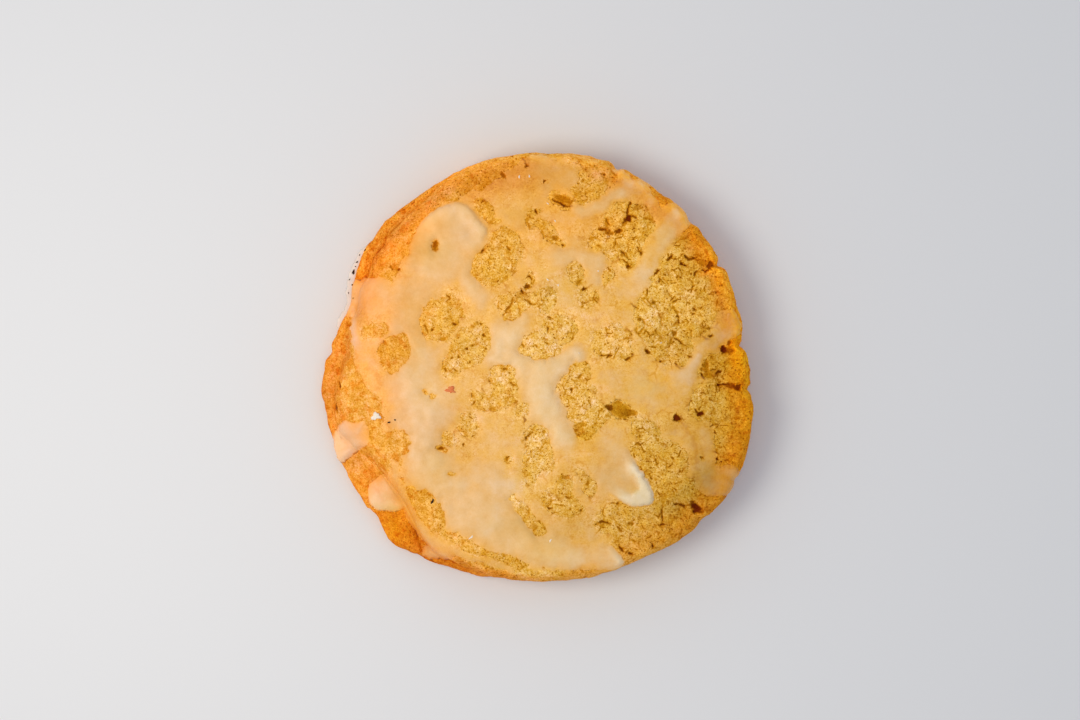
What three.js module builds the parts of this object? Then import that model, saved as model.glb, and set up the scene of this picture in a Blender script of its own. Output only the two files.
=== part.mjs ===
// A thick glazed lemon cookie, baked as a scooped mound of short dough that spread out at its base.
// It is one piece: a domed crown that stands on a thinner foot. On the left the crown sits back from
// the foot, which shows as a ledge with a small lobe; on the right the two run into one steep side.
// Millimetres, +Z up. The cookie lies flat on z = 0 with the middle of its outline on the Z axis.
import * as THREE from "three";

// Driving sizes
const HEIGHT = 14.5; // middle of the crown above the table
const DOME_DROP = 0.9; // how much lower the crown's shoulder is than its middle
const CROWN_SIDE_Z = 6.9; // where the crown's side stands upright
const LEDGE_Z = 5.7; // the foot's upper face, where it meets the crown
const LEDGE_DROP = 0.9; // how far that face falls towards the foot's edge
const FOOT_SIDE_Z = 2.7; // where the foot is widest
const BASE_INSET = 1.3; // the bottom edge curls in by this much
const CROWN_SPREAD = 0.15; // share of the ledge covered by the crown's side as it runs down to it
const FOOT_ROUNDING = 0.55; // share of the ledge taken by the foot's rounded edge
const SHOULDER_NARROW = 4.0; // width of the crown's rounded shoulder at its steepest
const SHOULDER_WIDE = 9.5; // and on the left, where the crown slopes away
const SHOULDER_WIDE_AT = 190; // degrees, the direction of the widest shoulder

// The crown's edge, and how far the foot stands out past it, every 15 degrees from +X towards +Y
const CROWN_RADII = [
  42.8, 42.2, 42.4, 42.8, 43.2, 43.5, 42.8, 42.5, 40.4, 39.6, 39.4, 38.8,
  38.7, 41.4, 37.0, 37.6, 42.0, 42.9, 43.0, 43.4, 43.6, 45.3, 45.8, 44.6,
];
const LEDGE_WIDTHS = [
  0, 0, 0, 0, 0, 0, 0, 0.2, 1.5, 2.7, 2.8, 2.0,
  4.2, 2.2, 6.9, 6.9, 2.7, 0.8, 0, 0, 0, 0, 0, 0,
];
// The lobe on the foot: its direction in degrees, how far it reaches and its half width
const LOBE = { angle: 230.5, depth: 1.0, width: 3.2 };

// Cracks and dents that run down the side: direction in degrees, depth and half width
const EDGE_CRACKS = [
  { angle: 68, depth: 0.8, width: 0.9 },
  { angle: 43.5, depth: 0.7, width: 1.2 },
  { angle: 29.5, depth: 1.0, width: 1.4 },
  { angle: 6, depth: 1.8, width: 2.2 },
  { angle: -5.6, depth: 1.0, width: 1.1 },
  { angle: -29.5, depth: 0.7, width: 1.2 },
  { angle: -43, depth: 1.0, width: 1.6 },
  { angle: 176, depth: 0.8, width: 1.2 },
  { angle: 160, depth: 1.4, width: 4.2 },
];

// Holes and hollows in the crown: place, length, width, heading in degrees and depth
const HOLLOWS = [
  { x: 17, y: -8.8, length: 6.4, width: 3.0, heading: -10, depth: 1.6 },
  { x: 32, y: -28, length: 3.8, width: 2.8, heading: -60, depth: 1.8 },
  { x: 38, y: 4, length: 3.6, width: 2.6, heading: 20, depth: 1.6 },
  { x: 38.2, y: -3.6, length: 5.2, width: 2.6, heading: -4, depth: 1.6 },
  { x: 15.6, y: 28, length: 5.4, width: 2.6, heading: 20, depth: 1.3 },
  { x: -2.4, y: 15.6, length: 3.4, width: 2.4, heading: 40, depth: 1.0 },
  { x: 9, y: -11.5, length: 3.0, width: 2.4, heading: 80, depth: 1.0 },
];

// Slow swells of the crown: wave length, direction in degrees, height and phase
const SWELLS = [
  { length: 47, direction: 20, height: 0.24, phase: 0.4 },
  { length: 33, direction: 128, height: 0.2, phase: 2.1 },
  { length: 21, direction: 74, height: 0.13, phase: 4.0 },
  { length: 15, direction: 161, height: 0.1, phase: 1.3 },
];

// Mesh spacing
const TOP_RINGS = 18; // from the middle of the crown to its shoulder
const RIM_POINTS = 160; // points on each of the outer rings
const FULL_RING = TOP_RINGS + 2; // the first ring with that many points
const SHOULDER_RINGS = 5;
const LEDGE_RINGS = 2;
const FOOT_EDGE_RINGS = 3;
const UNDERCUT_RINGS = 2;

const radians = THREE.MathUtils.degToRad;

// A smooth closed curve through evenly spaced values, as a function of the angle in radians
function closedSpline(values) {
  const count = values.length;
  const at = (i) => values[((i % count) + count) % count];
  return (angle) => {
    const place = ((angle / (2 * Math.PI)) * count + 4 * count) % count;
    const i = Math.floor(place);
    const t = place - i;
    const [a, b, c, d] = [at(i - 1), at(i), at(i + 1), at(i + 2)];
    return b + 0.5 * t * (c - a + t * (2 * a - 5 * b + 4 * c - d + t * (3 * (b - c) + d - a)));
  };
}

const crownSpline = closedSpline(CROWN_RADII);
const ledgeSpline = closedSpline(LEDGE_WIDTHS);

// A bump of height 1 at a direction, with a half width measured along the rim
function bumpAt(angle, { angle: middle, width }, radius) {
  const turn = angle - radians(middle);
  const away = Math.atan2(Math.sin(turn), Math.cos(turn)) * radius;
  return Math.exp(-((away / width) ** 2));
}

function crackDepth(angle, radius) {
  return EDGE_CRACKS.reduce((sum, crack) => sum + crack.depth * bumpAt(angle, crack, radius), 0);
}

// All the sizes of the cross-section in one direction
function sectionAt(angle) {
  const whole = crownSpline(angle);
  const crown = whole - crackDepth(angle, whole);
  const ledge = Math.max(0, ledgeSpline(angle)) + LOBE.depth * bumpAt(angle, LOBE, whole);
  const lean = 0.5 + 0.5 * Math.cos(angle - radians(SHOULDER_WIDE_AT));
  const shoulder = SHOULDER_NARROW + (SHOULDER_WIDE - SHOULDER_NARROW) * lean ** 1.5;
  return { crown, foot: crown + ledge, ledge, shoulder };
}

// Height of the crown's upper face between its middle and its shoulder
function domeHeight(share) {
  return HEIGHT - DOME_DROP * share * share;
}

// The rings of the cross-section, each a function of the direction that gives [radius, height]
function sectionRings() {
  const rings = [];
  for (let i = 1; i <= TOP_RINGS; i++) {
    const share = i / TOP_RINGS;
    rings.push((s) => [(s.crown - s.shoulder) * share, domeHeight(share)]);
  }
  for (let i = 1; i <= SHOULDER_RINGS; i++) {
    const roll = (i / SHOULDER_RINGS) * (Math.PI / 2);
    rings.push((s) => [
      s.crown - s.shoulder * (1 - Math.sin(roll)),
      CROWN_SIDE_Z + (domeHeight(1) - CROWN_SIDE_Z) * Math.cos(roll),
    ]);
  }
  for (let i = 0; i <= LEDGE_RINGS; i++) {
    const share = i / LEDGE_RINGS;
    rings.push((s) => [
      THREE.MathUtils.lerp(s.crown + CROWN_SPREAD * s.ledge, s.foot - FOOT_ROUNDING * s.ledge, share),
      LEDGE_Z - LEDGE_DROP * share,
    ]);
  }
  for (let i = 1; i <= FOOT_EDGE_RINGS; i++) {
    const roll = (i / FOOT_EDGE_RINGS) * (Math.PI / 2);
    rings.push((s) => [
      s.foot - FOOT_ROUNDING * s.ledge * (1 - Math.sin(roll)),
      FOOT_SIDE_Z + (LEDGE_Z - LEDGE_DROP - FOOT_SIDE_Z) * Math.cos(roll),
    ]);
  }
  for (let i = 1; i <= UNDERCUT_RINGS; i++) {
    const roll = (i / UNDERCUT_RINGS) * (Math.PI / 2);
    rings.push((s) => [s.foot - BASE_INSET * (1 - Math.cos(roll)), FOOT_SIDE_Z * (1 - Math.sin(roll))]);
  }
  return rings;
}

// How far the crown's upper face is raised or sunk at a place
function relief(x, y) {
  let height = 0;
  for (const swell of SWELLS) {
    const along = x * Math.cos(radians(swell.direction)) + y * Math.sin(radians(swell.direction));
    height += swell.height * Math.sin((2 * Math.PI * along) / swell.length + swell.phase);
  }
  for (const hollow of HOLLOWS) {
    const turn = radians(hollow.heading);
    const along = (x - hollow.x) * Math.cos(turn) + (y - hollow.y) * Math.sin(turn);
    const across = (y - hollow.y) * Math.cos(turn) - (x - hollow.x) * Math.sin(turn);
    const away = (2 * along / hollow.length) ** 2 + (2 * across / hollow.width) ** 2;
    height -= hollow.depth * Math.exp(-away);
  }
  return height;
}

// One ring of points round the cookie. The relief fades out from the shoulder down to the side.
function ringPoints(ring, count) {
  return Array.from({ length: count }, (_, i) => {
    const angle = (2 * Math.PI * i) / count;
    const [radius, height] = ring(sectionAt(angle));
    const [x, y] = [radius * Math.cos(angle), radius * Math.sin(angle)];
    const share = THREE.MathUtils.smoothstep(height, CROWN_SIDE_Z, domeHeight(1));
    return new THREE.Vector3(x, y, height + relief(x, y) * share);
  });
}

// Triangles between two rings with different numbers of points, outer ring second, facing out.
// A ring of one point is a middle: no triangle runs along it.
function stitch(inner, outer, triangles) {
  let [i, j] = [0, 0];
  while (i < inner.length || j < outer.length) {
    const outerIsBehind = (j + 1) / outer.length <= (i + 1) / inner.length;
    const stepOuter = i === inner.length || (j < outer.length && outerIsBehind);
    const a = inner[i % inner.length];
    const b = outer[j % outer.length];
    if (stepOuter) {
      if (outer.length > 1) triangles.push(a, b, outer[(j + 1) % outer.length]);
      j++;
    } else {
      if (inner.length > 1) triangles.push(a, b, inner[(i + 1) % inner.length]);
      i++;
    }
  }
}

// The whole closed surface: middle of the top, the rings outwards and down, middle of the bottom
function cookieGeometry() {
  const rings = [[new THREE.Vector3(0, 0, HEIGHT + relief(0, 0))]];
  sectionRings().forEach((ring, index) => {
    const around = Math.round((RIM_POINTS * (index + 1)) / FULL_RING);
    rings.push(ringPoints(ring, Math.min(RIM_POINTS, around)));
  });
  rings.push([new THREE.Vector3(0, 0, 0)]);

  const points = [];
  const numbered = rings.map((ring) => ring.map((point) => points.push(point) - 1));
  const triangles = [];
  for (let k = 0; k + 1 < numbered.length; k++) {
    const [inner, outer] = [numbered[k], numbered[k + 1]];
    stitch(inner, outer, triangles);
  }
  const geometry = new THREE.BufferGeometry().setFromPoints(points);
  geometry.setIndex(triangles);
  geometry.computeBoundingBox();
  const middle = geometry.boundingBox.getCenter(new THREE.Vector3());
  geometry.translate(-middle.x, -middle.y, -geometry.boundingBox.min.z);
  geometry.computeVertexNormals();
  return geometry;
}

const crumb = new THREE.MeshStandardMaterial({ color: 0xdfa850, roughness: 0.85, metalness: 0 });

const cookie = new THREE.Mesh(cookieGeometry(), crumb);
cookie.name = "cookie";

const lemonCookie = new THREE.Group();
lemonCookie.add(cookie);

export default lemonCookie;
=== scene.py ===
"""A thick glazed lemon cookie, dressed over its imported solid.

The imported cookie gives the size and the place. This script replaces it with a finer body of crumb,
a poured shell of lemon glaze over it, and the few flecks that lie on the glaze. Sizes are in
millimetres until a mesh is made. Places on the cookie are (x, y) on a plan of it: +X to the right,
+Y away, zero in the middle of the outline.
"""

from __future__ import annotations

import logging
import math
from collections.abc import Callable, Sequence
from dataclasses import dataclass, field
from enum import Enum
from functools import partial
from typing import ClassVar

import bpy
import numpy as np
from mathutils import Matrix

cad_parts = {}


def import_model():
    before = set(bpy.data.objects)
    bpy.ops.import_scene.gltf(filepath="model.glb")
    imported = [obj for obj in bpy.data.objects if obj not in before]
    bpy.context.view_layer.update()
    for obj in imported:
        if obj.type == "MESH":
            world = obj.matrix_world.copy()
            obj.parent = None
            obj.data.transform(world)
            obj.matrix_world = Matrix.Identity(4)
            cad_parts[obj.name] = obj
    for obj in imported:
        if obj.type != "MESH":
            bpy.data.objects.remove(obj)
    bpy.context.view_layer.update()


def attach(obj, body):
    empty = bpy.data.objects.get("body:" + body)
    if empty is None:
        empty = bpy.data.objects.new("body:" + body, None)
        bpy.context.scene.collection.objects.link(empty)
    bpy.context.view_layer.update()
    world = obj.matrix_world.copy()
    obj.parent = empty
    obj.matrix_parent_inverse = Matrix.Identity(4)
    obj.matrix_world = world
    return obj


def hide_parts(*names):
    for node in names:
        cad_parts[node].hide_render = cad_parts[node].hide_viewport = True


LOG = logging.getLogger("lemon_cookie")
MM = 0.001
Array = np.ndarray
Row = tuple[float, ...]
Rows = tuple[Row, ...]
Stops = tuple[tuple[float, str], ...]
Window = tuple[slice, slice]
Tree = bpy.types.NodeTree
Socket = bpy.types.NodeSocket

# The plan is seen from straight above, this far from PLAN_LEVEL, where its millimetres are true
VIEW_CENTRE = (0.7, 1.4)
VIEW_DISTANCE = 510.0
PLAN_LEVEL = 8.0
# How far past its outline a mark can fray, and a distance beyond the reach of any mark
MARGIN = 3.0
FAR = 1000.0


# ---- Small tools ----


def linear(hex_colour: str) -> tuple[float, float, float, float]:
    """Works out the linear colour of an sRGB hex colour.

    Args:
        hex_colour: The colour, such as "E6AE57".

    Returns:
        Red, green, blue and an alpha of 1.
    """
    parts = [int(hex_colour[i : i + 2], 16) / 255 for i in (0, 2, 4)]
    red, green, blue = (c / 12.92 if c <= 0.04045 else ((c + 0.055) / 1.055) ** 2.4 for c in parts)
    return red, green, blue, 1.0


def ease(low: float, high: float, value: Array) -> Array:
    """Eases values from 0 to 1.

    Args:
        low: The value that gives 0; it may be above high.
        high: The value that gives 1.
        value: The values.

    Returns:
        The eased values.
    """
    share = np.clip((value - low) / (high - low), 0.0, 1.0)
    return share * share * (3.0 - 2.0 * share)


def closed_spline(values: Sequence[float]) -> Callable[[Array], Array]:
    """Makes a smooth closed curve through values.

    Args:
        values: The values at even angles, from +X towards +Y.

    Returns:
        The curve's value at angles in radians.
    """
    knots = np.asarray(values, dtype=float)
    count = len(knots)

    def curve(angle: Array) -> Array:
        """Works out the curve's value.

        Args:
            angle: Angles in radians.

        Returns:
            The value at each.
        """
        place = np.mod(angle / (2 * math.pi) * count, count)
        i = np.floor(place).astype(int)
        t = place - i
        a, b, c, d = (knots[(i + k) % count] for k in (-1, 0, 1, 2))
        return b + 0.5 * t * (c - a + t * (2 * a - 5 * b + 4 * c - d + t * (3 * (b - c) + d - a)))

    return curve


def along_segment(xy: Array, start: Array, end: Array) -> tuple[Array, Array]:
    """Measures places against one straight stretch of a line.

    Args:
        xy: The places.
        start: Where the stretch starts: x, y and perhaps more.
        end: Where it ends.

    Returns:
        The share of the way along it and the distance from it of each place.
    """
    step = end[:2] - start[:2]
    share = np.clip(((xy - start[:2]) @ step) / max(float(step @ step), 1e-9), 0, 1)
    away = np.hypot(xy[..., 0] - start[0] - share * step[0], xy[..., 1] - start[1] - share * step[1])
    return share, away


@dataclass
class Grain:
    """Seeded gradient noise, the uneven part of everything that is baked or poured."""

    seed: int

    # What brings noise of two or three coordinates to about -1 to 1
    SPANS: ClassVar[dict[int, float]] = {2: 1.7, 3: 1.5}

    def __post_init__(self) -> None:
        """Draws the tables that the noise looks values up in."""
        draw = np.random.default_rng(self.seed)
        self.order = draw.permutation(256)
        slopes = draw.normal(size=(256, 3))
        self.slopes = (slopes / np.linalg.norm(slopes, axis=1, keepdims=True)).astype(np.float32)

    def __call__(self, points: Array, size: float) -> Array:
        """Works out the noise.

        Args:
            points: Places, with two or three coordinates each.
            size: How far apart the bumps are.

        Returns:
            About -1 to 1 for each place.
        """
        scaled = np.asarray(points, dtype=np.float32) / np.float32(size)
        axes = scaled.shape[-1]
        cell = np.floor(scaled).astype(np.int64)
        part = scaled - cell
        eased = part**3 * (part * (part * 6 - 15) + 10)
        total = np.zeros(scaled.shape[:-1], dtype=np.float32)
        for corner in np.ndindex(*(2,) * axes):
            place = np.zeros(scaled.shape[:-1], dtype=np.int64)
            weight = np.ones(scaled.shape[:-1], dtype=np.float32)
            dot = np.zeros(scaled.shape[:-1], dtype=np.float32)
            for axis, step in enumerate(corner):
                place = self.order[(place + cell[..., axis] + step) & 255]
                weight = weight * (eased[..., axis] if step else 1 - eased[..., axis])
            for axis, step in enumerate(corner):
                dot = dot + self.slopes[place, axis] * (part[..., axis] - step)
            total += weight * dot
        return total * self.SPANS[axes]


# ---- The plan of the cookie: listed places, drawn on a fine grid ----


class Plan:
    """A square grid over the plan, on which the listed marks are drawn and then read off."""

    HALF: ClassVar[float] = 48.0
    STEP: ClassVar[float] = 0.125
    # How marks are bent and how they are frayed: a bump spacing and how far it moves a point
    BENDS: ClassVar[Rows] = ((3.4, 0.5), (1.1, 0.28))
    FRAYS: ClassVar[Rows] = ((1.3, 0.22), (0.5, 0.14))

    def __init__(self, grain: Grain) -> None:
        """Lays out the grid and the uneven coordinates that give marks their ragged edges.

        Args:
            grain: The noise that bends the coordinates.
        """
        axis = np.arange(-self.HALF, self.HALF + self.STEP / 2, self.STEP, dtype=np.float32)
        self.x, self.y = np.meshgrid(axis, axis)
        self.xy = np.stack([self.x, self.y], axis=-1)
        self.bent = self._moved(grain, self.BENDS)
        self.frayed = self._moved(grain, self.FRAYS)
        self.rough = np.clip(0.5 + 0.9 * grain(self.xy, 0.8), 0, 1)

    def _moved(self, grain: Grain, sizes: Rows) -> Array:
        """Moves the grid's coordinates about.

        Args:
            grain: The noise to use.
            sizes: Pairs of a bump spacing and how far it moves a point.

        Returns:
            The moved coordinates.
        """
        moved = self.xy.copy()
        for size, reach in sizes:
            for axis in (0, 1):
                moved[..., axis] += reach * grain(self.xy + 31.7 * (axis + 1) + size, size)
        return moved

    def blank(self, value: float = 0.0) -> Array:
        """Returns a field of one value."""
        return np.full(self.x.shape, value, dtype=np.float32)

    def window(self, places: Array | Rows, reach: float = MARGIN) -> Window:
        """Finds the part of the grid that holds some places and what is near them.

        Args:
            places: The places; their first two numbers are x and y.
            reach: How far from them it goes.

        Returns:
            The row and column slices.
        """
        count = self.x.shape[0]
        xy = np.asarray(places)[:, :2]
        low, high = xy.min(axis=0) - reach, xy.max(axis=0) + reach
        first = np.clip(((low + self.HALF) / self.STEP).astype(int), 0, count - 1)
        last = np.clip(((high + self.HALF) / self.STEP).astype(int) + 2, 1, count)
        return slice(first[1], last[1]), slice(first[0], last[0])

    def read(self, drawn: Array, xy: Array) -> Array:
        """Reads a field between its grid points.

        Args:
            drawn: The field.
            xy: The places.

        Returns:
            Its value at each place.
        """
        count = self.x.shape[0]
        place = np.clip((xy + self.HALF) / self.STEP, 0, count - 1.001)
        cell = place.astype(int)
        u, v = (place - cell).T
        i, j = cell[:, 0], cell[:, 1]
        low = drawn[j, i] * (1 - u) + drawn[j, i + 1] * u
        high = drawn[j + 1, i] * (1 - u) + drawn[j + 1, i + 1] * u
        return low * (1 - v) + high * v


def draw_over(drawn: Array, part: Window, values: Array) -> None:
    """Raises one part of a field to the values given for it where they are greater."""
    np.maximum(drawn[part], values, out=drawn[part])


@dataclass(frozen=True)
class Oval:
    """An oval mark on the plan: its middle, its two sizes and its length's direction in degrees."""

    x: float
    y: float
    length: float
    width: float
    heading: float = 0.0

    def window(self, plan: Plan) -> Window:
        """Returns the part of the plan that the oval can mark."""
        return plan.window(((self.x, self.y),), max(self.length, self.width) / 2 + MARGIN)

    def spread(self, xy: Array) -> Array:
        """Works out how far out places are.

        Args:
            xy: The places.

        Returns:
            0 in the oval's middle, 1 on its edge.
        """
        turn = math.radians(self.heading)
        along = (xy[..., 0] - self.x) * math.cos(turn) + (xy[..., 1] - self.y) * math.sin(turn)
        across = (xy[..., 1] - self.y) * math.cos(turn) - (xy[..., 0] - self.x) * math.sin(turn)
        return np.hypot(2 * along / self.length, 2 * across / self.width)

    def depth_inside(self, xy: Array) -> Array:
        """Works out about how far inside the oval's edge places are.

        Args:
            xy: The places.

        Returns:
            The depths, negative outside.
        """
        out = self.spread(xy)
        mean = 0.5 * math.sqrt(self.length * self.width)
        return (1.0 - out) * mean


@dataclass(frozen=True)
class Stroke:
    """A line of varying width on the plan: a run of glaze or a strip of crumb.

    Attributes:
        points: (x, y, half width) along the line.
        height: How thick the glaze is along it.
        crosses: Whether the run covers the crumb under it.
    """

    points: Rows
    height: float = 0.0
    crosses: bool = False

    def window(self, plan: Plan) -> Window:
        """Returns the part of the plan that the stroke can mark."""
        return plan.window(self.points, max(half for _, _, half in self.points) + MARGIN)

    def measure(self, xy: Array) -> tuple[Array, Array]:
        """Measures places against the stroke.

        Args:
            xy: The places.

        Returns:
            How deep inside its edge each is, and the share of the way from there to the middle line;
            both are negative outside.
        """
        rows = np.array(self.points, dtype=np.float32)
        depth = np.full(xy.shape[:-1], -FAR, dtype=np.float32)
        share = depth.copy()
        for start, end in zip(rows[:-1], rows[1:]):
            t, away = along_segment(xy, start, end)
            half = start[2] + t * (end[2] - start[2])
            depth = np.maximum(depth, half - away)
            share = np.maximum(share, 1 - away / half)
        return depth, share


@dataclass(frozen=True)
class Pool:
    """A pool of glaze, with a rounded crisp edge in some places and a thin one elsewhere.

    Attributes:
        points: (x, y, crisp) round its outline, where crisp goes from 0 to 1.
        rim: How thick it is along a crisp edge.
        middle: How thick it is further in.
    """

    points: Rows
    rim: float
    middle: float

    # How far in a crisp edge is round, its rim gives way to the middle, and a thin edge thickens
    ROUND: ClassVar[float] = 1.0
    RIM: ClassVar[tuple[float, float]] = (3.2, 0.8)
    THIN: ClassVar[float] = 3.5

    def window(self, plan: Plan) -> Window:
        """Returns the part of the plan that the pool can mark."""
        return plan.window(self.points)

    def measure(self, xy: Array) -> tuple[Array, Array]:
        """Measures places against the pool's smooth outline.

        Args:
            xy: The places.

        Returns:
            How deep inside it each is, negative outside, and the glaze's thickness.
        """
        turns = np.linspace(0, 2 * math.pi, 6 * len(self.points), endpoint=False)
        ring = np.stack([closed_spline(column)(turns) for column in zip(*self.points)], axis=-1)
        away = np.full(xy.shape[:-1], FAR)
        crisp = np.zeros(xy.shape[:-1])
        inside = np.zeros(xy.shape[:-1], dtype=bool)
        for start, end in zip(ring, np.roll(ring, -1, axis=0)):
            t, gap = along_segment(xy, start, end)
            crisp = np.where(gap < away, start[2] + t * (end[2] - start[2]), crisp)
            away = np.minimum(away, gap)
            step = end - start
            spans = (start[1] > xy[..., 1]) != (end[1] > xy[..., 1])
            slope = step[0] / (step[1] if abs(step[1]) > 1e-9 else 1e-9)
            inside ^= spans & (xy[..., 0] < start[0] + (xy[..., 1] - start[1]) * slope)
        depth = np.where(inside, away, -away)
        roll = np.clip(depth / self.ROUND, 0, 1)
        hard = self.middle + (self.rim - self.middle) * ease(*self.RIM, depth)
        soft = self.middle * ease(0, self.THIN, depth)
        return depth, crisp * hard * np.sqrt(roll * (2 - roll)) + (1 - crisp) * soft


class Tone(Enum):
    """How dark the inside of a hole looks, from a shallow dent to one that no light gets into."""

    DENT = 0.26
    LIGHT = 0.42
    MEDIUM = 0.6
    DARK = 0.82
    BLACK = 1.0


@dataclass(frozen=True)
class Crack:
    """A crack in the crumb.

    Attributes:
        points: (x, y) along it.
        width: Its width in the middle; it closes towards its ends.
        tone: How dark it looks.
    """

    points: Rows
    width: float
    tone: Tone

    # Its depth: a share of its width and a little more, for a black one
    DEPTH: ClassVar[tuple[float, float]] = (1.1, 0.15)

    def draw(self, plan: Plan, sunk: Array, dark: Array) -> None:
        """Cuts the crack into the plan's fields.

        Args:
            plan: The plan.
            sunk: How deep the surface is cut.
            dark: How dark it is, from 0 to 1, partly painted shade in the crack.
        """
        line = np.array(self.points, dtype=np.float32)
        part = plan.window(line, 1.0)
        xy = plan.frayed[part]
        lengths = np.hypot(*np.diff(line, axis=0).T)
        total = max(float(lengths.sum()), 1e-6)
        gone = 0.0
        fill = np.zeros(xy.shape[:-1], dtype=np.float32)
        for start, end, length in zip(line[:-1], line[1:], lengths):
            t, away = along_segment(xy, start, end)
            along = (gone + t * length) / total
            half = 0.5 * self.width * (0.45 + 0.55 * np.sin(math.pi * np.clip(along, 0.02, 0.98)))
            fill = np.maximum(fill, 1 - away / np.maximum(half * 1.5, 1e-3))
            gone += float(length)
        cut = ease(0.0, 0.6, np.clip(fill - 0.5 * plan.rough[part], 0, 1))
        share, least = self.DEPTH
        draw_over(sunk, part, cut * self.tone.value * (least + share * self.width))
        draw_over(dark, part, cut * self.tone.value)


@dataclass(frozen=True)
class Wash:
    """A place where the colour is made paler or deeper, fading out at its edge. The lighter ones along the
    right rim are painted light there, where the rim faces away from the lamp.

    Attributes:
        oval: Where it is.
        light: How much lighter it is, as a share.
        red: How much redder than that.
        blue: How much less yellow.
    """

    oval: Oval
    light: float
    red: float
    blue: float

    def change(self, xy: Array) -> Array:
        """Returns the share by which red, green and blue change at places on the plan."""
        amount = np.exp(-(self.oval.spread(xy) ** 2))
        return amount[..., None] * np.array([self.light + self.red, self.light, self.light + self.blue])


# ---- The form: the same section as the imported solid's ----


@dataclass(frozen=True)
class Bump:
    """A crack or lobe at the rim: its direction in degrees, depth and half width along the rim."""

    angle: float
    depth: float
    width: float

    def at(self, angle: Array, radius: Array) -> Array:
        """Works out the bump's depth along a rim.

        Args:
            angle: Angles in radians.
            radius: The rim's radius at each.

        Returns:
            The depth at each.
        """
        turn = angle - math.radians(self.angle)
        away = np.arctan2(np.sin(turn), np.cos(turn)) * radius
        return self.depth * np.exp(-((away / self.width) ** 2))


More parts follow.
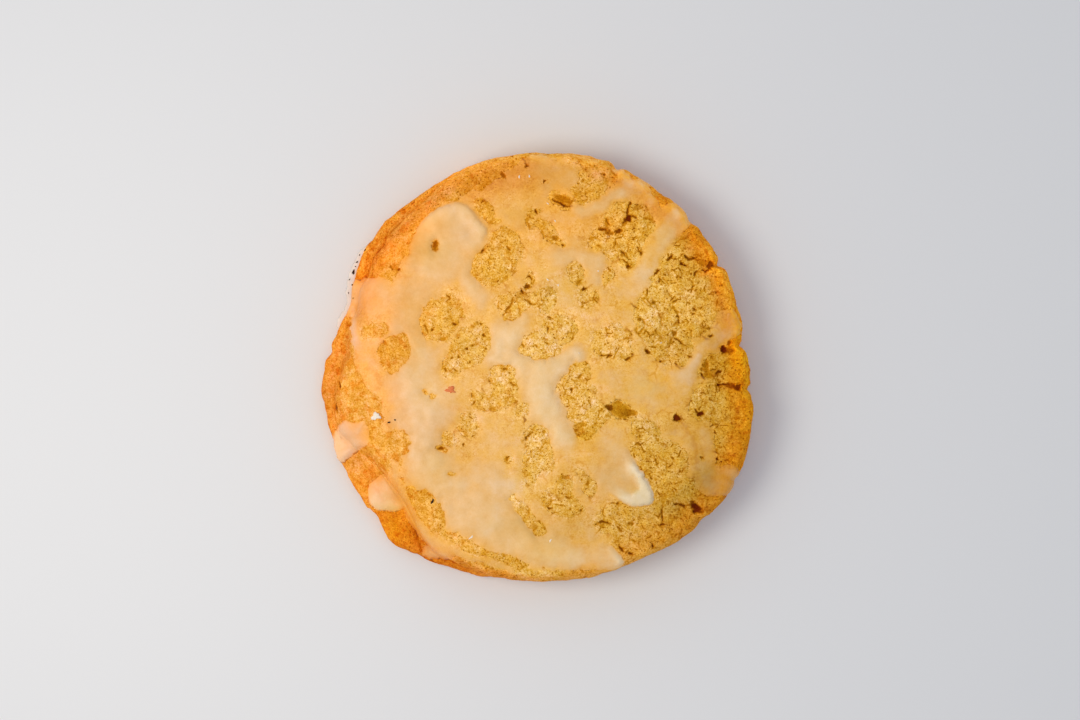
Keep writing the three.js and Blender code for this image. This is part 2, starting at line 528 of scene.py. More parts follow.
@dataclass
class CookieForm:
    """The baked mound: a domed crown that stands on a thinner foot, as one section swept round.

    A point of it is an angle and a station: 0 to 1 is the dome, 1 to 2 its rounded shoulder, 2 to 3
    the crown's side, 3 to 4 the ledge on the foot, 4 to 5 the foot's edge, 5 to 6 the curl under it
    and 6 to 7 the bottom, in to its middle. Radii and widths are given every 15 degrees from +X
    towards +Y, and a swell is its length, direction, height and phase.
    """

    height: float = 14.15
    dome_drop: float = 0.9
    crown_side_z: float = 6.9
    ledge_z: float = 5.7
    ledge_drop: float = 0.9
    foot_side_z: float = 2.7
    base_inset: float = 1.3
    crown_spread: float = 0.15
    foot_rounding: float = 0.55
    shoulder_narrow: float = 4.0
    shoulder_wide: float = 9.5
    shoulder_wide_at: float = 190.0
    shoulder_boxy: float = 0.48
    crown_radii: Row = (
        *(42.8, 42.2, 42.4, 42.8, 43.2, 43.5, 42.8, 42.5, 40.4, 39.6, 39.4, 38.8),
        *(38.7, 41.4, 37.0, 37.6, 42.0, 42.9, 43.0, 43.4, 43.6, 45.3, 45.8, 44.6),
    )
    ledge_widths: Row = (
        *(0, 0, 0, 0, 0, 0, 0, 0.2, 1.5, 2.7, 2.8, 2.0),
        *(4.2, 2.2, 6.9, 6.9, 2.7, 0.8, 0, 0, 0, 0, 0, 0),
    )
    lobe: Bump = Bump(230.5, 1.0, 3.2)
    lobe_crest: Bump = Bump(231.0, 0.5, 2.2)
    lobe_notch: Bump = Bump(223.2, 0.5, 1.3)
    edge_cracks: tuple[Bump, ...] = tuple(Bump(*row) for row in (
        (68, 0.8, 0.9), (43.5, 0.7, 1.2), (29.2, 1.1, 0.9), (31.5, 0.3, 1.8), (7.4, 1, 2), (5.9, 1.1, 0.8),
        (2, 0.45, 2.2), (-5.8, 1, 0.8), (-29.5, 0.6, 0.9), (-43, 0.35, 1.2), (176, 0.8, 1.2), (161, 1.3, 4.2),
        (151.5, 0.9, 3.5), (157.5, -0.25, 2), (115, -0.45, 4), (357, 0.35, 1.6), (352.5, 0.5, 1.6),
        (17, 0.3, 3), (261, 0.35, 1.5), (37.5, 0.4, 2), (54, 0.4, 2), (87, 0.35, 2), (97.5, 0.4, 2.5),
        (142.5, 0.5, 2), (171, 0.35, 1.8), (186, -0.4, 2), (201, 0.3, 2), (249, 0.3, 5),
    ))
    swells: Rows = ((47, 20, 0.24, 0.4), (33, 128, 0.2, 2.1), (21, 74, 0.13, 4.0), (15, 161, 0.1, 1.3))

    def __post_init__(self) -> None:
        """Makes the two curves that the section follows round the cookie."""
        self.crown_curve = closed_spline(self.crown_radii)
        self.ledge_curve = closed_spline(self.ledge_widths)

    def section(self, angle: Array) -> tuple[Array, Array, Array]:
        """Works out the section's sizes.

        Args:
            angle: Directions in radians.

        Returns:
            The crown's radius and the ledge's and shoulder's widths.
        """
        whole = self.crown_curve(angle)
        crown = whole - sum(crack.at(angle, whole) for crack in self.edge_cracks)
        ledge = np.maximum(0, self.ledge_curve(angle)) + self.lobe.at(angle, whole)
        ledge = ledge + self.lobe_crest.at(angle, whole) - self.lobe_notch.at(angle, whole)
        wide = self.shoulder_wide - self.shoulder_narrow
        return crown, ledge, self.shoulder_narrow + wide * self._lean(angle) ** 1.5

    def _lean(self, angle: Array) -> Array:
        """Returns 1 in the direction of the widest shoulder, falling to 0 opposite."""
        return 0.5 + 0.5 * np.cos(angle - math.radians(self.shoulder_wide_at))

    def dome(self, share: Array | float) -> Array | float:
        """Returns the dome's height at a share of the way out to its shoulder."""
        return self.height - self.dome_drop * share * share

    def points(self, angle: Array, station: Array) -> Array:
        """Finds points on the form.

        Args:
            angle: Their directions in radians.
            station: How far along the section they are.

        Returns:
            Their x, y and z.
        """
        crown, ledge, shoulder = self.section(angle)
        foot = crown + ledge
        step = np.minimum(np.floor(station), 6).astype(int)
        part = station - step
        swing = part * math.pi / 2
        sine, cosine = np.sin(swing), np.cos(swing)
        boxy = 1 - self.shoulder_boxy * (1 - self._lean(angle))
        top = self.dome(1.0)
        edge_top = self.ledge_z - self.ledge_drop
        inner, outer = crown + self.crown_spread * ledge, foot - self.foot_rounding * ledge
        radii = [
            (crown - shoulder) * part,
            crown - shoulder * (1 - sine**boxy),
            crown + (inner - crown) * part,
            inner + (outer - inner) * part,
            foot - self.foot_rounding * ledge * (1 - sine),
            foot - self.base_inset * (1 - cosine),
            (foot - self.base_inset) * (1 - part),
        ]
        heights = [
            self.dome(part),
            self.crown_side_z + (top - self.crown_side_z) * np.maximum(cosine, 0) ** boxy,
            self.crown_side_z + (self.ledge_z - self.crown_side_z) * part,
            self.ledge_z - self.ledge_drop * part,
            self.foot_side_z + (edge_top - self.foot_side_z) * cosine,
            self.foot_side_z * (1 - sine),
            np.zeros_like(part),
        ]
        radius, height = np.choose(step, radii), np.choose(step, heights)
        return np.stack([radius * np.cos(angle), radius * np.sin(angle), height], axis=-1)

    def swell(self, points: Array) -> Array:
        """Works out the slow rise and fall of the dome.

        Args:
            points: Points on the form.

        Returns:
            How far each rises, 0 on the sides.
        """
        rise = np.zeros(len(points))
        for length, direction, height, phase in self.swells:
            turn = math.radians(direction)
            along = points[:, 0] * math.cos(turn) + points[:, 1] * math.sin(turn)
            rise += height * np.sin(2 * math.pi * along / length + phase)
        return rise * ease(self.crown_side_z, float(self.dome(1.0)), points[:, 2])


def on_plan(points: Array) -> Array:
    """Finds where points of the cookie show on the plan, which is seen from a finite height.

    Args:
        points: The points.

    Returns:
        Their x and y on the plan.
    """
    centre = np.array(VIEW_CENTRE)
    scale = VIEW_DISTANCE / (VIEW_DISTANCE + PLAN_LEVEL - points[:, 2])
    return centre + (points[:, :2] - centre) * scale[:, None]


def from_plan(x: Array, y: Array, height: float) -> Array:
    """Finds the points at a height that show at places on the plan.

    Args:
        x: The places' x.
        y: Their y.
        height: The points' height.

    Returns:
        The points.
    """
    grown = (VIEW_DISTANCE + PLAN_LEVEL - height) / VIEW_DISTANCE
    cx, cy = VIEW_CENTRE
    return np.stack([cx + (x - cx) * grown, cy + (y - cy) * grown, np.full(np.shape(x), height)], axis=-1)


@dataclass
class Skin:
    """A triangle mesh over the form; each of its points has an angle in radians and a station."""

    form: CookieForm
    angle: Array = field(default_factory=lambda: np.zeros(0))
    station: Array = field(default_factory=lambda: np.zeros(0))
    faces: Array = field(default_factory=lambda: np.zeros((0, 3), dtype=int))

    RIM_POINTS: ClassVar[int] = 210
    # How many rings of points lie on each part of the section, from the dome to the bottom
    RINGS: ClassVar[tuple[int, ...]] = (30, 9, 1, 3, 3, 3, 13)
    # How much longer than wanted an edge has to be to be split, and how often that is looked at
    LONGEST: ClassVar[float] = 1.35
    PASSES: ClassVar[int] = 7

    def lay(self) -> None:
        """Lays the first, even mesh: rings of points with triangles between them."""
        rings = [(0.0, 1)]
        last = len(self.RINGS) - 1
        for low, count in enumerate(self.RINGS):
            for i in range(1, count + 1):
                station = low + i / count
                share = min(1.0, (station if low == 0 else 1.0), (7 - station) if low == last else 1.0)
                rings.append((station, max(1, round(self.RIM_POINTS * share))))
        counts = [count for _, count in rings]
        starts = np.cumsum([0, *counts]).tolist()
        faces: list[tuple[int, int, int]] = []
        for k in range(len(rings) - 1):
            faces += self._stitch(starts[k], counts[k], starts[k + 1], counts[k + 1])
        self.angle = np.concatenate([2 * math.pi * np.arange(count) / count for count in counts])
        self.station = np.concatenate([np.full(count, station) for station, count in rings])
        self.faces = np.array(faces)

    @staticmethod
    def _stitch(first: int, inner: int, second: int, outer: int) -> list[tuple[int, int, int]]:
        """Joins two rings with triangles.

        Args:
            first: The inner ring's first point.
            inner: How many it has.
            second: The outer ring's first point.
            outer: How many that has.

        Returns:
            The triangles, facing out.
        """
        faces = []
        i = j = 0
        while i < inner or j < outer:
            a, b = first + i % inner, second + j % outer
            if i == inner or (j < outer and (j + 1) / outer <= (i + 1) / inner):
                if outer > 1:
                    faces.append((a, b, second + (j + 1) % outer))
                j += 1
            else:
                if inner > 1:
                    faces.append((a, b, first + (i + 1) % inner))
                i += 1
        return faces

    def points(self) -> Array:
        """Returns the mesh's points on the form."""
        return self.form.points(self.angle, self.station)

    def refine(self, spacing: Callable[[Array, Array], Array]) -> None:
        """Splits edges until they are short enough.

        Args:
            spacing: Gives the wanted length from points and their stations.
        """
        for _ in range(self.PASSES):
            points = self.points()
            sides = np.sort(self.faces[:, [0, 1, 1, 2, 2, 0]].reshape(-1, 2), axis=1)
            edges, of_face = np.unique(sides, axis=0, return_inverse=True)
            start, end = edges.T
            length = np.linalg.norm(points[start] - points[end], axis=1)
            middle = (points[start] + points[end]) / 2
            station = (self.station[start] + self.station[end]) / 2
            split = length > self.LONGEST * spacing(middle, station)
            if not split.any():
                return
            new_point = np.full(len(edges), -1)
            new_point[split] = len(self.angle) + np.arange(int(split.sum()))
            self._add_middles(start[split], end[split], station[split])
            self.faces = self._cut_faces(new_point[of_face.reshape(-1, 3)])

    def _add_middles(self, start: Array, end: Array, station: Array) -> None:
        """Adds a point in the middle of each edge.

        Args:
            start: The edges' first points.
            end: Their second points.
            station: The new points' stations.
        """
        a, b = self.angle[start], self.angle[end]
        pole_a, pole_b = (np.isin(self.station[k], (0.0, 7.0)) for k in (start, end))
        a, b = np.where(pole_a, b, a), np.where(pole_b, a, b)
        turn = np.arctan2(np.sin(b - a), np.cos(b - a))
        self.angle = np.concatenate([self.angle, a + turn / 2])
        self.station = np.concatenate([self.station, station])

    def _cut_faces(self, middles: Array) -> Array:
        """Cuts each triangle where its edges were split.

        Args:
            middles: The new point on each edge of each triangle, or -1.

        Returns:
            The new triangles.
        """
        whole = [self.faces[(middles < 0).all(axis=1)]]
        cut = (middles >= 0).sum(axis=1)
        v, m = self.faces[cut == 3], middles[cut == 3]
        whole.append(m)
        whole += [np.stack([v[:, k], m[:, k], m[:, k - 1]], axis=1) for k in range(3)]
        for k in range(3):
            order = [k, (k + 1) % 3, (k + 2) % 3]
            one = (cut == 1) & (middles[:, k] >= 0)
            a, b, c = self.faces[one][:, order].T
            m = middles[one][:, k]
            whole += [np.stack(corners, axis=1) for corners in ((a, m, c), (m, b, c))]
            two = (cut == 2) & (middles[:, order[2]] < 0)
            a, b, c = self.faces[two][:, order].T
            m, n, _ = middles[two][:, order].T
            whole += [np.stack(corners, axis=1) for corners in ((m, b, n), (a, m, n), (a, n, c))]
        return np.concatenate(whole)

    def normals(self, points: Array) -> Array:
        """Works out the outward direction at each point.

        Args:
            points: The mesh's points.

        Returns:
            Unit vectors.
        """
        a, b, c = (points[self.faces[:, k]] for k in range(3))
        outward = np.cross(b - a, c - a)
        total = np.zeros_like(points)
        for k in range(3):
            for axis in range(3):
                at, size = self.faces[:, k], len(points)
                total[:, axis] += np.bincount(at, weights=outward[:, axis], minlength=size)
        return total / np.maximum(np.linalg.norm(total, axis=1, keepdims=True), 1e-12)


# ---- The glaze on the plan ----

# Where lumps of crumb stand out of the glaze, from the far side to the near side of the cookie
BARE_PATCHES: tuple[Oval, ...] = tuple(Oval(*row) for row in (
    (12.4, 38.2, 7.2, 6), (9.8, 36.2, 6, 3, 30), (11.8, 34.2, 4.4, 3, 40), (5.2, 33.4, 5.4, 2.6, -15),
    (8.9, 33, 1.6, 2.6, 80), (5.6, 31.6, 3, 1), (-10.2, 31.2, 5.2, 3.2, -60), (-8.8, 29.3, 2.6, 1.6),
    (-1.3, 29.2, 1.2, 2.4), (1.4, 28, 4.4, 2.6, -30), (2.8, 26.2, 4.6, 2.2, -40), (5.1, 24.5, 1.4, 1.2),
    (0, 31.2, 1.2, 1.6, -60), (18.3, 29.4, 9.6, 7.4, 20), (14.2, 26.4, 8, 4.8, 30),
    (18.6, 24.6, 8.4, 6.6, -45), (21.4, 28, 5.4, 5), (17.8, 21, 3.6, 2.6, -40), (15, 22.5, 3, 2),
    (14.3, 18.3, 3.6, 2, 70), (7.8, 19, 4.4, 3.4, 100), (9.2, 13.7, 4, 2.6, -60), (11.2, 13.6, 3, 2, 70),
    (-8.3, 20.6, 9.4, 8.2, 40), (-6, 24, 7.6, 6.4, -60), (-5.4, 12.2, 5.6, 5, 60), (-3, 13.2, 5, 4),
    (-1.6, 17.2, 3.4, 1.8, 80), (1.9, 13.8, 5.6, 4.2, 80), (-0.3, 12.8, 3, 2.4), (-19.2, 9.9, 8.6, 7.6, 45),
    (-21.9, 8.2, 4.6, 2.8, 90), (-17.2, 13.2, 4, 2.8), (-19, 6, 3, 2), (-28.5, 2.8, 7.4, 5.8, 60),
    (-29, -0.6, 2.6, 1.6), (-13.3, 4.2, 9.8, 7.2, 50), (-16.8, 0.4, 5, 3.8, 60), (-11.2, 7.6, 3.4, 2.6, -60),
    (1.2, 4.4, 8.6, 5.6, 10), (4.6, 7.6, 7.2, 5.4, -20), (2.8, 9.2, 3.2, 2.6), (15, 5.2, 7.6, 6.4, 30),
    (16.8, 3.4, 4.8, 4), (12.6, 4.6, 3.2, 3), (-6.9, -2.6, 6.8, 5.4, -80), (-7.2, -6.8, 5.6, 4.2, 20),
    (-5, -3.8, 3.4, 2.4, 80), (-10.8, -6.6, 5, 3.6, -30), (-13.6, -11.6, 4, 5), (-2.8, -8.6, 2.6, 2.6),
    (8.8, -1.2, 4.6, 4.4), (8.2, -5.2, 8.4, 7, -40), (10.2, -9.2, 8, 6.6, -30), (9.8, -12.2, 5, 4),
    (12.4, -9.8, 4, 3), (0.2, -14, 5, 4.6, -60), (0.4, -17.6, 6.6, 5.8, 90), (-1, -21.2, 4.4, 3.4, 70),
    (2.6, -19.6, 2.2, 2.4), (5.4, -23.8, 5.2, 3.4, 80), (5.2, -27.4, 7.8, 4.8, -15), (2.4, -26.2, 3, 3),
    (8.2, -28.2, 2.6, 2.6), (9.4, -21.9, 3.4, 1.8, -60), (10.7, -24.2, 3.2, 2.6, -60),
    (-4.8, -26.1, 0.9, 0.8), (-2.9, -28.6, 3.8, 2.6, -50), (-1.6, -30.4, 3.4, 2.4, -60),
    (0.6, -32.2, 3.2, 2.2, -70), (-17.4, -14.4, 3.4, 2.4, -20), (-19, -16.2, 1.4, 2.2, 80),
    (-22.1, -5.3, 0.7, 0.6), (-21, -5.8, 1.2, 0.8), (-17, -21.5, 1.6, 0.9), (-5.8, -18.3, 1.6, 1.8),
    (-28.3, -15.2, 6.2, 5), (-28.6, -18.6, 4, 2.8, -60), (-24.6, -26, 5.2, 3.4, -30),
    (-22, -27.8, 7, 4.8, -45), (-20.4, -30.4, 5.2, 3.6, -70), (-27.2, -22.8, 2.2, 1.4, 60),
    (-28.6, 2.6, 5.6, 5.6), (-32, 7.2, 2.8, 5, 90), (28.5, 19.5, 12, 9), (25.5, 10.5, 13.5, 11.5, 80),
    (32, 11.5, 12, 10, 60), (27, 4, 10, 7, -20), (33, 19, 10, 9), (36.5, 0, 9, 6), (36, -7.5, 11, 9),
    (38.5, -13, 7, 8), (22, -13, 7.5, 4.6, -50), (25.5, -19, 10.5, 9, -40), (27, -25, 9.5, 7.5),
    (20, -16.6, 3.4, 2.6), (19.5, -31.5, 14, 9, -20), (27, -30.5, 10, 7, 20), (17.5, -36, 5, 5),
    (14, -31, 5, 4), (22.5, -34.5, 10, 5, 20),
))

# A strip of crumb that shows along the near left edge, between two runs
BARE_STRIP = Stroke((
    (-19, -33.6, 0.9), (-16, -34.2, 0.9), (-14, -35.6, 1), (-10.5, -37.8, 1), (-6, -38.8, 0.9),
    (-2.2, -40.4, 0.7),
))

# Runs of glaze: over the shoulder on the left, then where it lies thick and creamy
POURED_RUNS: tuple[Stroke, ...] = (
    Stroke(((-32.5, 14, 4.4), (-36.2, 15, 2.4), (-37.4, 11.6, 2)), 0.1, True),
    Stroke(((-37, 12, 1.2), (-36.4, 8, 1.3), (-36, 4.6, 1.2)), 0.16),
    Stroke((
        (-28.4, -19.5, 1), (-27.6, -23.5, 1.2), (-26.2, -27, 1.2), (-24.6, -30.2, 1.3), (-22.6, -33, 1.4),
        (-20, -35.2, 1.5), (-16, -36.9, 1.1), (-12, -38.3, 0.9), (-9, -39.4, 0.8), (-5, -40.6, 0.7),
    ), 0.06, True),
    Stroke(((-21.5, -36.6, 1.4), (-17.5, -37.6, 1.3)), 0.08, True),
    Stroke(((-21.8, 28.4, 1.6), (-18.6, 30.4, 2.4), (-15.4, 30.6, 3), (-12.6, 28.4, 3)), 0.3),
    Stroke(((-11.8, 27, 2.4), (-13, 22.4, 3), (-13.8, 18.4, 2.8), (-11.5, 14, 2.6)), 0.24),
    Stroke(((-20.5, 19.5, 4.4), (-23.5, 15, 5.6), (-25.5, 8, 5.6), (-24.6, 2, 6)), 0.17),
    Stroke(((-24, 1, 6.2), (-23.6, -5, 7.6), (-22.6, -10, 7.8), (-23, -16, 6.8)), 0.28),
    Stroke((
        (-22, -16, 6), (-20.5, -22, 7), (-16.5, -27, 7.8), (-11, -30, 8), (-4, -34, 6.8), (3, -37, 4.6),
        (8, -38, 3.2),
    ), 0.3),
    Stroke(((-10, -22, 5), (-6, -26, 4)), 0.22),
    Stroke((
        (-3.4, 9.6, 3.2), (-6, 6.4, 5), (-6.6, 2.4, 5.4), (-2.2, 0.2, 5.2), (1.8, -1.2, 5), (5.2, 0.8, 3.8),
        (8, 2.4, 2.8),
    ), 0.34),
    Stroke(((0.2, -1.5, 6), (0.8, -5, 5.8), (2.4, -9, 5.2), (5.6, -13, 4)), 0.34),
    Stroke(((16.6, 35, 1.3), (13.5, 32.8, 1.5), (10, 30.7, 1.7), (8, 31.2, 1.8)), 0.21, True),
    Stroke((
        (27.5, 29.5, 3.6), (26, 27.2, 2.7), (23.4, 22.6, 2.3), (20.8, 18.4, 2.5), (17.8, 14.8, 2.8),
    ), 0.1, True),
    Stroke(((38.4, 8.4, 3.2), (35.4, 5, 2.2)), 0.06, True),
    Stroke(((36, 6.2, 1.2), (33.8, 4.6, 1.1), (32.2, 2.2, 1.2), (31.2, 0, 1.7)), 0.05, True),
    Stroke(((32.6, 2.4, 0.9), (31.6, 0.4, 1.5), (30.2, -1.8, 2.4)), 0.16, True),
    Stroke(((38, -22.6, 3.2), (34.8, -22.8, 3.2)), 0.05, True),
    Stroke(((33.8, -20, 1.7), (33.6, -16.5, 2.1), (33.6, -12.6, 2)), 0.04, True),
    Stroke(((16, -3, 4), (22, -5.5, 4.5), (28.5, -5.6, 4)), 0.04),
    Stroke(((6.5, 37.6, 3), (1, 33.5, 2.5)), 0.1),
    Stroke(((5, 22, 3.6), (11.5, 21, 2.6), (12.6, 18, 2.2)), 0.2),
    Stroke(((14.5, -15, 3.4), (17, -20, 3.4), (12, -24, 3)), 0.1),
    Stroke(((20.4, -20.6, 1), (21.5, -23, 2.2), (21.7, -25.4, 2.4), (19.8, -26.4, 2)), 0.48),
)

# Pools of glaze: the big one, the lobe on the right, the near right end, and two on the left flank
POOLS: tuple[Pool, ...] = (
    Pool((
        (-24.2, 27.6, 0.7), (-21.6, 30.8, 1), (-18.4, 32.5, 1), (-15.2, 32.9, 1), (-12.7, 31.4, 1),
        (-11, 29.2, 1), (-9.7, 27.6, 0.9), (-10.4, 25.4, 0.7), (-12, 22.8, 0.5), (-13.6, 19, 0.1),
        (-17, 15.5, 0), (-22, 15.5, 0), (-25.8, 19, 0.1), (-25.5, 23.6, 0.3),
    ), 0.46, 0.3),
    Pool((
        (17.2, -12.4, 0.1), (18, -15.2, 0.1), (19.5, -18, 0.45), (20.9, -20.4, 0.9), (22.4, -22.8, 1),
        (23.6, -25.2, 1), (23.4, -27.3, 1), (20.8, -28, 1), (17.4, -27.4, 0.9), (14.2, -24.6, 0.3),
        (11.4, -21, 0), (10.6, -16, 0), (13.4, -12.4, 0),
    ), 0.62, 0.13),
    Pool((
        (6, -36.2, 0), (11.4, -35.4, 0.1), (14.8, -35.4, 0.5), (16.6, -37, 0.8), (17.6, -38.8, 0.8),
        (15.6, -40.3, 0.4), (10, -40.6, 0.1), (4, -40.6, 0),
    ), 0.42, 0.14),
    Pool((
        (-40.2, -12.6, 0.6), (-38.4, -10.5, 0.5), (-36.5, -11, 0.3), (-34.4, -10.6, 0.1), (-33.4, -12.8, 0),
        (-33.7, -15.2, 0.2), (-35.4, -16.8, 0.6), (-37.3, -18.3, 1), (-39, -19.2, 1), (-40.4, -17.4, 0.8),
        (-40.8, -14.8, 0.7),
    ), 0.62, 0.3),
    Pool((
        (-33.6, -23.6, 0.4), (-32.2, -22.2, 0.2), (-30, -21, 0), (-27.6, -22.6, 0), (-26.6, -26, 0),
        (-26.8, -28.4, 0.5), (-29, -29, 0.8), (-31.4, -28.8, 1), (-33.2, -27.6, 1), (-33.9, -25.6, 0.7),
    ), 0.5, 0.36),
)

# Uneven colour: how much lighter, redder and less yellow, then x, y, length, width and heading
# The lighter washes along the right rim, x 38 to 42, are painted light on a rim that faces away from the lamp
WASHES: tuple[Wash, ...] = tuple(Wash(Oval(*row[3:]), *row[:3]) for row in (
    (0.01, 0, -0.02, 0, 0, 400, 400), (-0.05, 0.06, -0.15, 0, 27, 52, 28),
    (-0.09, 0.02, -0.05, 14, -29, 34, 16), (-0.22, -0.03, -0.05, -36.2, 13.6, 9, 2.8, 100),
    (-0.34, 0.22, -0.45, -6, 37.5, 22, 7, 10), (-0.08, 0.08, -0.3, -12.5, 35, 8, 5, 30),
    (-0.1, 0.1, -0.33, 5, 33.5, 10, 6), (-0.08, 0.08, -0.12, 12, 36, 10, 6, -20),
    (-0.04, 0.1, -0.3, 15.5, 28.5, 8, 6, 30), (-0.06, 0.08, -0.14, 6, 28, 22, 9),
    (-0.05, 0.14, -0.35, -22, 28.5, 8, 6, 30), (-0.12, 0.12, -0.25, -28.5, 22, 7, 6, 60),
    (0.27, -0.09, 0.44, 29, 13, 20, 20), (0.14, -0.04, 0.2, 36.5, 19, 8, 6, -60),
    (0.15, -0.1, 0.35, 34.5, -7.5, 9, 10), (0.16, -0.16, 0.35, -37.5, 7, 9, 5, 90),
    (-0.13, 0.02, -0.12, 12, -22, 16, 11), (-0.15, 0.02, -0.16, 5, -32.5, 24, 8),
    (-0.15, 0, 0, 24.5, -28.5, 7, 4), (-0.07, 0, 0, -14, -13, 18, 14), (-0.16, -0.04, 0, 33.5, -22, 7, 8),
    (-0.1, -0.05, 0.1, 30, -26, 7, 5, 40), (0.03, -0.06, 0.14, -29, -17, 9, 9),
    (0.02, -0.04, 0.12, -12, -4, 32, 46), (0.04, -0.04, 0.28, 23.5, -12, 7, 7),
    (0.1, -0.1, 0.3, -5, -24, 8, 7), (0, -0.02, 0.2, -34, 8, 14, 7, 90),
    (-0.1, 0.07, -0.28, -4, 38, 13, 6, 8), (-0.12, 0.09, -0.24, -25, 24.5, 8, 6, 60),
    (0, -0.04, 0.2, -14, 27, 6, 5), (0.02, -0.01, 0.08, -15, 31.2, 10, 3.4, -15),
    (-0.05, 0.03, -0.12, -17, 28, 7, 4), (-0.05, 0.03, -0.24, -21, 22.8, 8, 6),
    (0.02, -0.07, 0.24, 4, 16.5, 8, 7), (0, -0.03, 0.27, 25, 6, 7, 10), (0.05, -0.12, 0.28, -39.5, -1, 7, 20),
    (-0.1, 0.05, -0.28, 10, -14, 5, 5), (0, -0.04, 0.18, 24, -15, 9, 9), (-0.05, 0, -0.18, -20, -20, 9, 9),
    (-0.14, 0.06, -0.28, -24, -28, 11, 8, -40), (-0.14, 0, -0.2, 34.5, -23, 5, 7),
    (-0.07, 0.03, -0.18, 0, -31.5, 10, 6), (-0.08, 0, 0, 30, -30, 7, 5, 30), (-0.07, 0, 0, -4, -39, 24, 4),
    (0.04, 0.04, -0.16, 4.5, 34, 6, 4), (-0.08, 0.06, -0.22, -10.5, 31, 6, 4, -60),
    (0.03, -0.08, 0.25, 38.5, 15, 4, 8), (0.1, -0.2, 0.2, -28.5, 28.8, 25, 3.4, 46),
    (0.1, 0, 0.1, -30, 23, 10, 4, 60), (0.09, 0, 0.08, -25.5, 26, 14, 5, 48),
    (0.1, -0.12, 0.45, -19, 34.5, 9, 4, 25), (0.16, -0.07, 0.1, -16, 38.5, 9, 3.4, 20),
    (0.1, -0.02, -0.75, 39.5, 1, 4, 13), (0.04, -0.03, -0.3, 39, -12, 4, 9),
    (0.03, 0.05, -0.28, -39.5, -3, 4, 9), (0.06, 0, 0, 20, 24, 14, 8, 30),
    (-0.05, 0.02, -0.2, -24, 23.5, 7, 5, 60), (-0.06, 0.03, -0.25, -25.5, 12, 5, 7),
    (-0.05, 0.02, -0.3, 10, -14.5, 4, 4), (-0.02, 0, -0.22, 32, -14, 6, 5),
    (-0.03, 0, -0.25, -26, -25.5, 6, 6, -40), (-0.06, 0.02, -0.22, 23.5, 23, 10, 4, 60),
    (-0.04, 0.02, -0.22, 34.5, 6, 4, 4), (0, -0.04, 0.18, -36.5, -8, 8, 12), (0, -0.04, 0.25, -38, 5, 5, 5),
    (0.02, 0, 0.15, 26, 1, 5, 6), (0, 0, 0.3, -28, 29, 16, 5, 45), (0.04, 0, 0.2, 12.5, 10, 7, 5),
    (0.03, -0.02, 0.17, 36, -10, 6, 10), (0.03, 0, 0.18, 8, -5, 6, 9), (0.05, 0.02, 0.04, 16.5, 5, 7, 7),
    (0, 0, 0.36, 38, 13, 3.6, 24), (0.2, -0.1, 0.3, 38.2, 3.5, 3, 6), (0.2, -0.17, 0.2, 42, 0, 3.2, 22),
    (0, 0, -0.26, 28, -30, 7, 5), (0.14, -0.03, 0, -26.5, -29.5, 4, 5), (-0.03, 0, -0.2, -19, 9.5, 7, 7),
    (-0.08, -0.05, 0.35, -42, -5, 4, 13), (-0.15, -0.02, 0.15, -37, -19, 5, 5),
    (0, -0.02, -1.2, -28, -32.5, 7, 7), (0.07, -0.05, -0.02, -22, -5, 6, 8), (0, 0, -0.25, 22, -4, 9, 5),
    (-0.03, 0, -0.14, 2, -37, 8, 4), (-0.06, 0, -0.13, -13, 4, 7, 7), (-0.06, 0.03, -0.27, -28.5, 2.7, 5, 5),
    (-0.03, 0, -0.2, -24.5, 4, 6, 12), (-0.06, 0.03, -0.3, 19.2, -24.4, 2.6, 1.5, -10),
    (-0.02, 0, -0.14, -8, 20.5, 7, 7), (-0.04, -0.01, -0.16, -4, 31, 9, 6),
))


